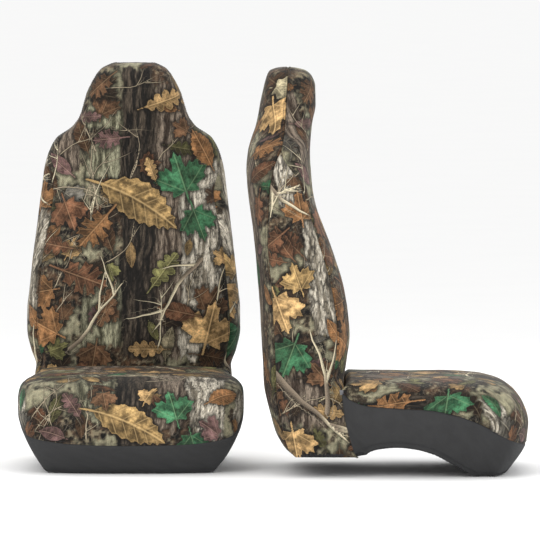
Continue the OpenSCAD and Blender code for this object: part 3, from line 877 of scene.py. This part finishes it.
PRINT = make_print()
CHARCOAL = make_knit("charcoal_knit_cloth", (0.020, 0.020, 0.0205), (0.048, 0.048, 0.049), 1.3)
REAR_KNIT = make_knit("tricot_backing", (0.10, 0.10, 0.105), (0.21, 0.21, 0.215), 1.5)
ELASTIC = make_knit("black_elastic", (0.007, 0.007, 0.008), (0.030, 0.030, 0.032), 0.9, rib=3.2)
THREAD = make_knit("black_thread", (0.010, 0.010, 0.011), (0.05, 0.05, 0.055), 0.5)
STEEL = make_steel()

floor_mesh = bpy.data.meshes.new("floor")
floor_mesh.from_pydata([(-60, -60, -0.002), (60, -60, -0.002), (60, 60, -0.002), (-60, 60, -0.002)], [],
                       [(0, 1, 2, 3)])
floor_mesh.materials.append(make_floor())
floor_obj = bpy.data.objects.new("floor", floor_mesh)
scene.collection.objects.link(floor_obj)


# ---------------------------------------------------------------- meshes
def make_object(name, verts, faces, mats, index=None):
    me = bpy.data.meshes.new(name)
    me.from_pydata([tuple(v) for v in verts], [], [tuple(f) for f in faces])
    for m in mats:
        me.materials.append(m)
    if index is not None:
        me.polygons.foreach_set("material_index", np.asarray(index, np.int32))
    me.polygons.foreach_set("use_smooth", np.ones(len(me.polygons), bool))
    me.update()
    o = bpy.data.objects.new(name, me)
    scene.collection.objects.link(o)
    return o


def write_attribute(o, name, kind, values):
    a = o.data.attributes.new(name, kind, "POINT")
    key = "color" if kind == "FLOAT_COLOR" else "vector"
    a.data.foreach_set(key, np.asarray(values, np.float32).ravel())


def shell(grid, thick, inside):
    """A closed sheet: the grid's outer face, an inner face, and the edge between them."""
    r, c = grid.shape[:2]
    n, flip = normals_out(grid, inside)
    inner = grid - n * thick
    verts = np.concatenate([grid.reshape(-1, 3), inner.reshape(-1, 3)])
    i = np.arange(r * c).reshape(r, c)
    a, b, d, e = i[:-1, :-1].ravel(), i[:-1, 1:].ravel(), i[1:, 1:].ravel(), i[1:, :-1].ravel()
    top = np.stack([a, b, d, e], 1)
    if flip:
        top = top[:, ::-1]
    low = top[:, ::-1] + r * c
    ring = np.concatenate([i[0, :], i[1:, -1], i[-1, -2::-1], i[-2:0:-1, 0]])
    nxt = np.roll(ring, -1)
    rim = np.stack([nxt, ring, ring + r * c, nxt + r * c], 1)
    if flip:
        rim = rim[:, ::-1]
    faces = np.concatenate([top, low, rim])
    index = np.concatenate([np.zeros(len(top)), np.ones(len(low)), np.zeros(len(rim))])
    return verts, faces, index


def dress(grid, uv, inside, edges, folds, seed):
    """Cloth's relief over a grid, along its normals, in mm: soft undulation, a roll down into
    each seam, and small puckers where the thread draws the seam up."""
    n, _ = normals_out(grid, inside)
    X, Y = uv[..., 0], uv[..., 1]
    h = folds * (0.9 * fbm(X / 95, Y / 80, seed) + 0.35 * fbm(X / 30, Y / 34, seed + 3))
    for side, deep, ruck in edges:
        if side in ("left", "right"):
            s = along(grid, 1)
            dist = s if side == "left" else s[:, -1:] - s
            run = Y
        else:
            s = along(grid, 0)
            dist = s if side == "low" else s[-1:, :] - s
            run = X
        h = h - deep * np.clip(1 - dist / 7.0, 0, 1) ** 2
        drift = 3 * fbm(run / 40, dist * 0, seed)
        wave = fbm(run / 8.5, dist / 30, seed + 7) + 0.4 * np.sin(run / 2.6 + drift)
        h = h + ruck * wave * np.exp(-dist / 13.0) * np.clip(dist / 5.0, 0, 1)
    return grid + n * h[..., None]


def at_grid(grid, row, column):
    """A point of a grid at fractional indices."""
    r = np.clip(row, 0, grid.shape[0] - 1.001)
    c = np.clip(column, 0, grid.shape[1] - 1.001)
    i, j = np.floor(r).astype(int), np.floor(c).astype(int)
    f, g = (r - i)[..., None], (c - j)[..., None]
    return (grid[i, j] * (1 - f) * (1 - g) + grid[i + 1, j] * f * (1 - g)
            + grid[i, j + 1] * (1 - f) * g + grid[i + 1, j + 1] * f * g)


def tube(path, radius, sides, frames):
    """A swept tube; radius may vary along the path. frames is a direction across it."""
    p = np.asarray(path, float)
    t = np.gradient(p, axis=0)
    t /= np.maximum(np.linalg.norm(t, axis=1, keepdims=True), 1e-9)
    side = np.cross(t, frames)
    side /= np.maximum(np.linalg.norm(side, axis=1, keepdims=True), 1e-9)
    top = np.cross(side, t)
    r = np.broadcast_to(np.asarray(radius, float), (len(p),))
    a = np.linspace(0, 2 * math.pi, sides, endpoint=False)
    ring = (p[:, None] + side[:, None] * (np.cos(a)[None, :, None] * r[:, None, None])
            + top[:, None] * (np.sin(a)[None, :, None] * r[:, None, None]))
    return ring.reshape(-1, 3), tube_faces(len(p), sides)


def tube_faces(rows, sides):
    """The walls and two caps of a tube of rings."""
    faces = [(i * sides + k, i * sides + (k + 1) % sides, (i + 1) * sides + (k + 1) % sides,
              (i + 1) * sides + k) for i in range(rows - 1) for k in range(sides)]
    return faces + [tuple(range(sides - 1, -1, -1)),
                    tuple((rows - 1) * sides + k for k in range(sides))]


def join(parts):
    verts, faces, base = [], [], 0
    for v, f in parts:
        verts.append(np.asarray(v, float))
        faces += [tuple(int(i) + base for i in q) for q in f]
        base += len(v)
    return np.concatenate(verts), faces


def stitches(line, normal, pitch, length, radius):
    """Top stitching along a line: one short, sunk-ended length of thread for each stitch."""
    line = np.asarray(line, float)
    s = lengths(line)
    parts = []
    for k in range(int(s[-1] / pitch)):
        a = k * pitch + 0.6
        t = a + np.array([0, 0.16, 0.5, 0.84, 1.0]) * length
        p = np.stack([np.interp(t, s, line[:, i]) for i in range(3)], -1)
        n = np.stack([np.interp(t, s, normal[:, i]) for i in range(3)], -1)
        p = p + n * np.array([-0.5, 0.22, 0.42, 0.22, -0.5])[:, None]
        parts.append(tube(p, radius, 5, n))
    return join(parts)


# ---------------------------------------------------------------- the print on each panel
rng = np.random.default_rng(7)


def front_print(X, Y):
    trunks = [("brown", -158, 34, 0.0, 700, 905), ("khaki", -72, 46, 0.0, 676, 838),
              ("khaki", -70, 44, 0.0, 276, 430), ("khaki", -214, 22, 0.0, 520, 690),
              ("brown", 100, 54, 0.02, 640, 900), ("brown", 82, 46, 0.0, 236, 650),
              ("birch", 162, 50, 0.0, 240, 712), ("black", 8, 38, 0.0, 240, 945),
              ("black", 226, 13, 0.0, 250, 700),
              ("olive", 246, 20, 0.0, 190, 440), ("brown", -262, 26, 0.02, 240, 620),
              ("birch", 285, 22, 0.0, 300, 620)]
    base = ground(X, Y, trunks, 3, 0.55)
    hero = placed([
        ("maple", 118, 662, 80, 18, "green", 1.15, 1.0),
        ("maple", 148, 582, 68, 200, "green", 0.85, 0.85),
        ("chestnut", 0, 622, 126, -119, "gold", 1.2, 0.96, 0.14),
        ("white", 66, 856, 62, -72, "tan", 0.95), ("white", 44, 690, 36, 20, "tan", 1.05),
        ("chestnut", 168, 738, 58, 28, "orange", 1.15, 1.1),
        ("maple", 196, 632, 34, 60, "umber", 1.3),
        ("beech", -172, 704, 46, 50, "mauve", 1.2), ("red", -52, 768, 46, 96, "mauve", 1.1),
        ("maple", -158, 602, 62, 200, "rust", 1.1), ("red", -84, 560, 70, 140, "orange", 0.85),
        ("white", -186, 510, 64, 80, "rust", 1.0), ("maple", -44, 490, 62, 20, "orange", 0.85),
        ("red", -130, 436, 76, 250, "rust", 1.05), ("maple", -206, 400, 56, 100, "orange", 0.9),
        ("white", -60, 372, 60, 160, "brown", 1.25),
        ("white", 68, 442, 62, -36, "olive", 1.3),
        ("maple", 176, 296, 84, -14, "tan", 1.25, 1.1),
        ("maple", -196, 306, 66, 64, "orange", 1.15),
        ("maple", -238, 250, 34, 10, "deep", 1.2), ("chestnut", 110, 350, 56, 78, "rust", 0.9),
        ("maple", -90, 256, 54, 170, "brown", 1.2),
        ("white", 40, 262, 52, 90, "tan", 0.9),
        ("red", -76, 900, 50, 130, "brown", 1.0), ("maple", 120, 790, 34, 60, "brown", 1.1),
        ("chestnut", 122, 906, 44, 200, "gold", 0.8), ("maple", 216, 480, 34, 60, "tan", 0.9),
        ("white", 262, 690, 46, 20, "orange", 1.0), ("white", -262, 690, 46, -20, "rust", 1.0),
    ])
    keep = [(-32, 214, 250, 712), (-32, 150, 700, 945)]
    fill = scatter(rng, 210, -330, 330, 190, 1010, keep, 24, 60, 0.05)
    sticks = twigs(rng, 0, [
        (-215, 640, 24, 230, 1.5), (-84, 600, 100, 190, 1.9), (-226, 700, 10, 210, 1.4),
        (-150, 560, 66, 220, 1.6), (-20, 640, 70, 170, 1.5), (-215, 560, 40, 170, 1.4),
        (-90, 740, 110, 130, 1.6), (60, 720, 60, 130, 1.3), (-110, 880, 20, 170, 1.4),
        (-230, 470, 30, 200, 1.4), (-190, 400, 52, 190, 1.5), (-60, 470, 30, 130, 1.3),
        (-200, 300, 70, 160, 1.5), (120, 330, 80, 150, 1.4)], 2, 8)
    sticks += twigs(rng, 1, [
        (-150, 262, 35, 200, 5.0), (160, 476, 219, 200, 5.6), (-226, 470, 68, 130, 1.8),
        (60, 270, 66, 130, 2.0), (-210, 640, 56, 120, 1.9), (-100, 560, 96, 150, 2.0),
        (200, 380, 84, 200, 2.0)], 2, 7)
    return base, fill, hero, sticks


def side_print(X, Y, seed):
    trunks = [("brown", 150, 70, 0.0, 120, 240), ("birch", 168, 27, -0.15, 326, 580),
              ("black", 60, 18, 0.05, 40, 420), ("birch", 96, 26, -0.1, 610, 730)]
    base = ground(X, Y, trunks, 11 + seed, 0.6)
    hero = placed([
        ("maple", 74, 396, 72, 200, "tan", 1.2), ("maple", 122, 446, 52, 20, "gold", 1.3),
        ("maple", 106, 292, 70, 160, "green", 0.85), ("maple", 110, 88, 66, 190, "tan", 1.1),
        ("maple", 126, 606, 54, 10, "orange", 1.2), ("red", 60, 540, 54, 130, "rust", 1.0),
        ("beech", 206, 330, 42, 30, "orange", 1.2), ("white", 60, 500, 44, 80, "rust", 1.1),
        ("maple", 176, 232, 46, 40, "brown", 1.2), ("red", 60, 196, 60, 20, "brown", 1.2),
        ("white", 196, 150, 46, 80, "tan", 0.8),
    ])
    if seed:
        hero = [(k, 300 - x, y, s, -a, c, q, -b) for k, x, y, s, a, c, q, b in hero]
    keep = [(50, 80, 40, 330), (132, 204, 320, 590)]
    fill = scatter(rng, 70, -20, 320, 20, 770, keep, 22, 52, 0.05)
    sticks = []
    for row in [(0, 30, 600, 60, 190, 1.6, 3, 9), (0, 90, 220, 84, 240, 1.6, 3, 9),
                (1, 66, 236, -48, 220, 8.5, 2, 6), (1, 60, 620, 62, 130, 2.0, 2, 9),
                (1, 26, 700, -50, 150, 7.0, 2, 7), (1, 186, 150, 84, 190, 6.0, 1, 7),
                (0, 60, 130, 30, 150, 1.8, 3, 9)]:
        sticks += twig(rng, *row)
    return base, fill, hero, sticks


def rear_print(X, Y):
    trunks = [("black", -20, 34, 0.0, 200, 900), ("brown", 130, 44, 0.03, 300, 760),
              ("birch", -150, 46, -0.02, 120, 620), ("olive", 60, 26, 0.0, 40, 360),
              ("brown", 262, 24, 0.0, 60, 700), ("black", -262, 22, 0.0, 60, 700)]
    base = ground(X, Y, trunks, 23, 0.5)
    hero = placed([
        ("chestnut", -20, 600, 110, 100, "gold", 1.1), ("maple", 100, 470, 60, 10, "deep", 1.25),
        ("maple", -120, 720, 52, 60, "tan", 1.0), ("white", 60, 800, 56, -40, "orange", 0.9),
        ("maple", -60, 380, 62, 200, "tan", 0.95), ("red", 150, 260, 60, 40, "orange", 0.9),
        ("maple", -150, 240, 54, 150, "green", 0.9), ("white", 0, 160, 58, 80, "rust", 1.1),
        ("beech", -200, 520, 42, 10, "gold", 0.9), ("red", 190, 640, 50, 160, "rust", 1.0),
        ("maple", -128, 862, 66, 150, "tan", 1.1), ("maple", 128, 862, 66, -150, "tan", 1.1),
        ("red", -176, 770, 48, 60, "orange", 1.0), ("red", 176, 770, 48, -60, "orange", 1.0),
        ("red", 252, 560, 46, 20, "orange", 1.0),
        ("red", -252, 560, 46, -20, "orange", 1.0),
    ])
    keep = [(-55, 15, 200, 900), (90, 170, 300, 760)]
    fill = scatter(rng, 170, -330, 330, 30, 990, keep, 24, 58, 0.05)
    sticks = twigs(rng, 0, [
        (-60, 480, 60, 170, 2.6), (120, 380, 110, 160, 2.4), (-180, 640, 40, 150, 2.2),
        (20, 260, 70, 160, 2.6), (180, 740, 130, 120, 2.0)], 3, 9)
    sticks += twigs(rng, 1, [(-100, 100, 40, 190, 4.0), (40, 640, 50, 150, 3.0)], 3, 8)
    return base, fill, hero, sticks


def seat_print(X, Y):
    trunks = [("khaki", -76, 44, 0.0, 60, 250), ("brown", 84, 44, 0.0, 40, 260),
              ("black", 8, 38, 0.0, -30, 250), ("birch", 176, 46, 0.0, 20, 240),
              ("brown", -70, 46, 0.0, 260, 520), ("olive", 130, 34, 0.0, 300, 540),
              ("birch", -270, 22, 0.0, 40, 200), ("black", -290, 20, 0.0, 300, 520),
              ("birch", 272, 24, 0.0, 40, 200), ("brown", 290, 24, 0.0, 260, 560)]
    base = ground(X, Y, trunks, 37, 0.5)
    hero = placed([
        ("chestnut", -14, 56, 110, -113, "gold", 1.3, 0.9, 0.12),
        ("maple", 104, 80, 62, 16, "green", 1.25),
        ("maple", 146, 16, 58, 196, "green", 0.95), ("chestnut", 212, 140, 54, -50, "orange", 1.15),
        ("maple", 196, 52, 42, 70, "mauve", 1.2), ("beech", -176, 40, 42, 60, "mauve", 1.1),
        ("white", -130, 96, 46, 30, "mauve", 0.9), ("maple", -60, 120, 40, 190, "brown", 1.3),
        ("maple", -284, 268, 66, 110, "green", 0.95), ("red", -286, 380, 64, 6, "orange", 1.2),
        ("maple", -290, 456, 34, 100, "green", 0.8), ("maple", 284, 268, 66, -110, "green", 0.95),
        ("red", 286, 380, 64, -6, "orange", 1.2), ("maple", 60, 330, 60, 10, "tan", 0.9),
        ("red", -150, 300, 66, 120, "rust", 1.0), ("white", 150, 260, 56, 80, "gold", 0.9),
        ("maple", -20, 430, 62, 170, "orange", 0.8), ("red", 190, 420, 60, 30, "tan", 0.9),
        ("maple", -200, 460, 52, 20, "tan", 0.9), ("beech", -90, 200, 40, 40, "gold", 0.9),
        ("red", -246, 60, 44, 0, "rust", 1.1), ("maple", 250, 20, 40, 10, "tan", 0.9),
    ])
    fill = scatter(rng, 130, -330, 330, -10, 570, [(-30, 220, -30, 240)], 24, 56, 0.06)
    sticks = twigs(rng, 0, [
        (-235, 10, 60, 190, 1.5), (-170, -10, 96, 180, 1.5), (-230, 100, 20, 190, 1.4),
        (-100, 20, 100, 150, 1.7), (40, 180, 20, 150, 1.6), (-120, 380, 10, 160, 1.6),
        (-240, 60, 40, 160, 1.4), (120, 200, 60, 160, 1.5)], 2, 9)
    sticks += twigs(rng, 1, [(-40, 240, 20, 160, 3.6), (100, 420, 130, 140, 3.4)], 3, 8)
    return base, fill, hero, sticks


def print_data(uv, recipe, *more):
    """What the print's material reads at each point, from a panel's recipe."""
    X, Y = uv[..., 0], uv[..., 1]
    base, fill, hero, sticks = recipe(X, Y, *more)
    # the placed leaves lie over the scattered ones
    place, tint, stick = paint(X, Y, fill, sticks, 0, 2, 0.66)
    above, above_tint, _ = paint(X, Y, hero, [], 2, LAYERS, 0.60)
    place[2:], tint[2:] = above[2:], above_tint[2:]
    wood = np.zeros((2, X.size, 4), np.float32)
    wood[0, :] = (*rgb("a89a82"), 1)
    wood[1, :] = (*rgb("cbbfa2"), 1)
    thick = stick[1, :, 1]
    mixed = ease((thick - 3.4) / 1.2)[:, None]
    wood[1, :, :3] += (rgb("7d7060") - wood[1, :, :3]) * mixed
    return base.reshape(-1, 4), place, tint, stick, wood


# ---------------------------------------------------------------- the cloth panels
IN_BACK = (0.0, 112.0, 430.0)
IN_SEAT = (0.0, 420.0, 40.0)
START = np.array([0.0, (REAR_Y - 160) * 0.001, 0.1971])
END = np.array([0.0, (REAR_Y - 255.3) * 0.001, 0.1421])


def centred(grid):
    s = along(grid, 1)
    return s - s[:, -1:] / 2


front, front_z = front_panel_grid()
rear, rear_z = rear_panel_grid()
side, side_z = gusset_grid()
seat, seat_v = seat_grid()
skirt, skirt_path = skirt_grid(seat, seat_v)

mid = front.shape[1] // 2
rise = along(front[:, mid:mid + 1], 0)[:, 0] + CREASE
front_uv = np.stack([centred(front) * np.sign(front[0, -1, 0] - front[0, 0, 0]),
                     np.repeat(rise[:, None], front.shape[1], 1)], -1)
mid = rear.shape[1] // 2
rise = along(rear[:, mid:mid + 1], 0)[:, 0] + TAIL
rear_uv = np.stack([centred(rear) * np.sign(rear[0, 0, 0] - rear[0, -1, 0]),
                    np.repeat(rise[:, None], rear.shape[1], 1)], -1)
side_uv = np.stack([side[..., 1], side[..., 2]], -1)
mid = seat.shape[1] // 2
fall = along(seat, 0)
ref = int(np.argmax(seat_v >= 0.62))
seat_uv = np.stack([centred(seat) * np.sign(seat[0, -1, 0] - seat[0, 0, 0]),
                    fall[-1, mid] - fall[ref, mid] + fall[ref][None, :] - fall], -1)
skirt_uv = np.stack([along(skirt, 1), -along(skirt, 0)], -1)

left_side = side * np.array([-1.0, 1.0, 1.0])
ENDS = [("left", 2.6, 0.7), ("right", 2.6, 0.7)]
PANELS = [          # name, node, grid, uv, inside, material, edges, folds, seed, print, seed of print
    ("front_panel_cloth", "back_front_panel", front, front_uv, IN_BACK, PRINT,
     ENDS + [("high", 2.2, 0.5)], 1.5, 5, front_print, ()),
    ("rear_panel_cloth", "back_rear_panel", rear, rear_uv, IN_BACK, PRINT,
     ENDS + [("high", 2.2, 0.5)], 1.5, 6, rear_print, ()),
    ("left_gusset_cloth", "gusset_left", left_side, side_uv, IN_BACK, PRINT,
     [("left", 2.6, 0.6), ("right", 2.6, 0.6)], 1.2, 7, side_print, (0,)),
    ("right_gusset_cloth", "gusset_right", side, side_uv, IN_BACK, PRINT,
     [("left", 2.6, 0.6), ("right", 2.6, 0.6)], 1.2, 8, side_print, (1,)),
    ("seat_top_cloth", "seat_top_panel", seat, seat_uv, IN_SEAT, PRINT,
     ENDS + [("high", 2.6, 0.8)], 1.5, 9, seat_print, ()),
    ("skirt_cloth", "skirt", skirt, skirt_uv, IN_SEAT, CHARCOAL,
     [("low", 2.6, 0.6), ("high", 0.6, 2.0), ("left", 2.0, 0.5), ("right", 2.0, 0.5)],
     1.8, 10, None, ()),
]
COVERS = ("driver", "passenger")


def put(cover, name, verts, faces, mats, index=None):
    v = verts if cover == "driver" else to_passenger(verts)
    return make_object("%s_%s" % (cover, name), v, faces, mats, index)


def bend(piece, cover):
    a, b = START, END
    if cover == "passenger":
        a, b = to_passenger(a), to_passenger(b)
    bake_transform(piece)


def settle(piece, cover, slot, *nodes):
    bend(piece, cover)
    if nodes:
        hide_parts(*[cover + "_" + n for n in nodes])


dressed = {}
for name, node, grid, uv, inside, mat, edges, folds, seed, recipe, more in PANELS:
    shaped = dress(grid, uv, inside, edges, folds, seed)
    if name == "skirt_cloth":
        shaped[..., 2] = np.maximum(shaped[..., 2], 0.4)
    dressed[name] = shaped
    metres = local(shaped)
    thick = (KNIT if name == "skirt_cloth" else CLOTH) * 0.001
    verts, faces, index = shell(metres, thick, local(np.array(inside)))
    cloth_at = np.concatenate([uv, np.zeros(uv.shape[:2] + (1,))], -1).reshape(-1, 3)
    data = print_data(uv, recipe, *more) if recipe else None
    for cover in COVERS:
        o = put(cover, name, verts, faces, [mat, REAR_KNIT], index)
        write_attribute(o, "cloth", "FLOAT_VECTOR", np.concatenate([cloth_at, cloth_at]))
        if data:
            base, place, tint, stick, wood = data
            write_attribute(o, "floor", "FLOAT_COLOR", np.concatenate([base, base]))
            for k in range(LAYERS):
                write_attribute(o, "leaf%d" % k, "FLOAT_VECTOR", np.concatenate([place[k]] * 2))
                write_attribute(o, "tint%d" % k, "FLOAT_COLOR", np.concatenate([tint[k]] * 2))
            for k in range(2):
                write_attribute(o, "twig%d" % k, "FLOAT_VECTOR", np.concatenate([stick[k]] * 2))
                write_attribute(o, "wood%d" % k, "FLOAT_COLOR", np.concatenate([wood[k]] * 2))
        settle(o, cover, "printed_cloth" if recipe else "charcoal_knit", node)
        wide = float(along(grid, 1)[:, -1].max()) * 0.001 + 0.024
        tall = float(along(grid, 0)[-1].max()) * 0.001 + 0.024


# ---------------------------------------------------------------- stitching, hems, loops, hooks
def line_on(shaped, inside, side, inset):
    """A line on a dressed panel, inset mm in from one of its edges, with its normals."""
    n, _ = normals_out(shaped, inside)
    rows, cols = shaped.shape[:2]
    across = side in ("left", "right")
    s = along(shaped, 1) if across else along(shaped, 0).T
    at = np.arange(s.shape[1])
    if side in ("left", "low"):
        cut = np.array([np.interp(inset, one, at) for one in s])
    else:
        cut = np.array([np.interp(inset, one[::-1], at[::-1]) for one in s[:, -1:] - s])
    rr, cc = (np.arange(rows, dtype=float), cut) if across else (cut, np.arange(cols, dtype=float))
    p, q = at_grid(shaped, rr, cc), at_grid(n, rr, cc)
    q /= np.maximum(np.linalg.norm(q, axis=1, keepdims=True), 1e-9)
    return p + q * 0.1, q


def turn_local(n):
    """A direction in (x, d, z) to the driver cover's frame."""
    return np.stack([n[..., 0], -n[..., 1], n[..., 2]], -1)


def add_cloth_attribute(o):
    co = np.array([v.co for v in o.data.vertices]) * 1000.0
    write_attribute(o, "cloth", "FLOAT_VECTOR", np.stack([co[:, 0] + co[:, 1], co[:, 2], co[:, 1]], -1))


SEAMS = [("front_panel_cloth", IN_BACK, "left"), ("front_panel_cloth", IN_BACK, "right"),
         ("rear_panel_cloth", IN_BACK, "left"), ("rear_panel_cloth", IN_BACK, "right"),
         ("front_panel_cloth", IN_BACK, "high"), ("seat_top_cloth", IN_SEAT, "left"),
         ("seat_top_cloth", IN_SEAT, "right"), ("seat_top_cloth", IN_SEAT, "high")]
rows_of_thread, hem_thread = [], []
for name, inside, which in SEAMS:
    line, n = line_on(dressed[name], inside, which, 6.0)
    v, f = stitches(local(line) * 1000, turn_local(n), 5.2, 3.9, 0.42)
    rows_of_thread.append((v * 0.001, f))
for inset in (13.0, 16.0):
    line, n = line_on(dressed["skirt_cloth"], IN_SEAT, "high", inset)
    v, f = stitches(local(line) * 1000, turn_local(n), 4.6, 3.4, 0.36)
    hem_thread.append((v * 0.001, f))
for cover in COVERS:
    for name, threads in (("seam_topstitch", rows_of_thread), ("hem_topstitch", hem_thread)):
        v, f = join(threads)
        o = put(cover, name, v, f, [THREAD])
        add_cloth_attribute(o)
        settle(o, cover, "elastic")


def gathered(path, out, half_height, half_thick, seed):
    """A hem with elastic drawn through it: a flat casing, ruched along its length."""
    count = int(np.linalg.norm(np.diff(path, axis=0), axis=1).sum() / 1.9)
    p = uniform([np.asarray(path, float)], count)[0]
    there, here = np.linspace(0, 1, len(out)), np.linspace(0, 1, len(p))
    o = np.stack([np.interp(here, there, out[:, i]) for i in range(3)], -1)
    o /= np.linalg.norm(o, axis=1, keepdims=True)
    s = np.arange(len(p)) * 1.9
    ruche = 0.75 * np.sin(s / 1.55 + 2.2 * fbm(s / 22, s * 0, seed)) + 0.5 * fbm(s / 5, s * 0, seed + 1)
    p = p + o * (ruche * 0.9)[:, None]
    ends = np.clip(np.minimum(np.arange(len(p)), np.arange(len(p))[::-1]) / 3.0, 0.25, 1)
    t = np.gradient(p, axis=0)
    t /= np.linalg.norm(t, axis=1, keepdims=True)
    up = np.cross(t, o)
    up /= np.linalg.norm(up, axis=1, keepdims=True)
    up *= np.sign(up[:, 2:3] + 1e-9)
    a = np.linspace(0, 2 * math.pi, 12, endpoint=False)
    ca, sa = [np.sign(w) * np.abs(w) ** 0.7 for w in (np.cos(a), np.sin(a))]
    tall = half_height * (1 + 0.12 * np.sin(s / 1.55 + 1.3)) * ends
    thick = (half_thick + 0.35 * np.abs(ruche)) * ends
    ring = (p[:, None] + o[:, None] * (ca[None, :, None] * thick[:, None, None])
            + up[:, None] * (sa[None, :, None] * tall[:, None, None]))
    return ring.reshape(-1, 3), tube_faces(len(p), 12)


def outward(path, inside):
    """Level directions away from a point inside, square to a path."""
    t = np.gradient(smooth_path(path, 8), axis=0)
    o = np.stack([t[:, 1], -t[:, 0], np.zeros(len(t))], -1)
    o /= np.maximum(np.linalg.norm(o, axis=1, keepdims=True), 1e-9)
    if np.sum(o * (path - inside)) < 0:
        o = -o
    return o


skirt_low = dressed["skirt_cloth"][-1].copy()
skirt_out = outward(skirt_low, np.array(IN_SEAT))
hem_path = skirt_low + skirt_out * (-1.2)
hem_path[:, 2] += 4.6
left_low, right_low = dressed["left_gusset_cloth"][0], dressed["right_gusset_cloth"][0]
rear_low = dressed["rear_panel_cloth"][0]
if rear_low[0, 0] > 0:
    rear_low = rear_low[::-1]
tail_path = np.concatenate([left_low[::-1][:-1], rear_low[1:-1], right_low[1:]])
tail_path = smooth_path(uniform([tail_path], 300)[0][12:-12], 6)
tail_out = outward(tail_path, np.array([0.0, 200.0, 46.0]))
tail_path = tail_path - tail_out * 1.6
tail_path[:, 2] += 4.6
CASINGS = [("skirt_hem_casing", hem_path, skirt_out, "skirt_hem_elastic", 3),
           ("back_hem_casing", tail_path, tail_out, "back_hem_elastic", 4)]
for cover in COVERS:
    for name, path, out, node, seed in CASINGS:
        v, f = gathered(path, out, 4.4, 2.6, seed)
        o = put(cover, name, local(v), f, [ELASTIC])
        add_cloth_attribute(o)
        settle(o, cover, "elastic", node)


def band(path, axis, half_width, half_thick):
    """A flat ribbon with rounded edges along a path, its width along axis."""
    p = np.asarray(path, float)
    t = np.gradient(p, axis=0)
    t /= np.linalg.norm(t, axis=1, keepdims=True)
    w = np.asarray(axis, float)
    n = np.cross(t, w)
    n /= np.linalg.norm(n, axis=1, keepdims=True)
    shape = [(1, 0.5), (0.92, 1), (0.5, 1), (0, 1.08), (-0.5, 1), (-0.92, 1), (-1, 0.5),
             (-1, -0.5), (-0.92, -1), (-0.5, -1), (0, -1.08), (0.5, -1), (0.92, -1), (1, -0.5)]
    verts = np.array([q + w * (a * half_width) + k * (b * half_thick)
                      for q, k in zip(p, n) for a, b in shape])
    return verts, tube_faces(len(p), len(shape))


def hook_mesh():
    """An S-hook of 3 mm wire: an eye, a shank and a bend, its eye's top at the origin."""
    r_eye, r_bend, shank = 8.0, 8.0, 18.0
    pts = [(r_eye * math.cos(a), r_eye * (math.sin(a) - 1))
           for a in np.radians(np.linspace(-30, 180, 22))]
    pts += [(-r_eye, -r_eye - shank * t) for t in (0.15, 0.35, 0.65, 0.85)]
    pts += [(r_bend * (math.cos(a) - 1) - r_eye, r_bend * math.sin(a) - r_eye - shank)
            for a in np.radians(np.linspace(0, -180, 20))]
    p = np.array([(0.0, y, z) for y, z in pts])
    r = np.full(len(p), 1.5)
    first, last = p[0] - p[1], p[-1] - p[-2]
    first, last = first / np.linalg.norm(first), last / np.linalg.norm(last)
    p = np.concatenate([[p[0] + first * 1.1], p, [p[-1] + last * 1.1]])
    r = np.concatenate([[0.7], r, [0.7]])
    v, f = tube(p, r, 14, np.tile([1.0, 0.0, 0.0], (len(p), 1)))
    return v * 0.001, f


def middle(node):
    lo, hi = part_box(node)
    return lo, hi, [(a + b) / 2 for a, b in zip(lo, hi)]


HOOK_V, HOOK_F = hook_mesh()
for place, wall, body in (("front", 0.2585, "_seat"), ("rear", 0.2325, "_back")):
    loops = []
    for sign, word in ((-1, "left"), (1, "right")):
        lo, hi, mean = middle("driver_%s_hook_%s" % (place, word))
        eye = np.array([mean[0], hi[1] - 0.0095, hi[2] - 0.0015 + 0.0003])
        v = HOOK_V + eye + np.array([0, 0, -0.0003])
        for cover in COVERS:
            o = put(cover, "%s_%s_wire_hook" % (place, word), v, HOOK_F, [STEEL])
            body_name = "%s_%s_hook_%s" % (cover, place, word)
            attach(o, body_name)
            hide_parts(body_name)
        r = 0.0037
        arc = [(r * math.cos(a), r * math.sin(a)) for a in np.radians(np.linspace(155, 324, 18))]
        out = abs(wall) - abs(eye[0]) - 0.0012
        path = [(out, 0.0265), (out * 0.55, 0.0160)] + arc + [(out * 0.55, 0.0092), (out, 0.0165)]
        path = np.array([(eye[0] + sign * x, eye[1], eye[2] + z) for x, z in path])
        path = uniform([path], 46)[0]
        path = smooth_path(path, 2)
        loops.append(band(path, (0, 1, 0), 0.003, 0.0006))
    v, f = join(loops)
    for cover in COVERS:
        o = put(cover, "%s_hook_elastics" % place, v, f, [ELASTIC])
        add_cloth_attribute(o)
        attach(o, cover + body)
        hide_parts("%s_%s_hook_loops" % (cover, place))
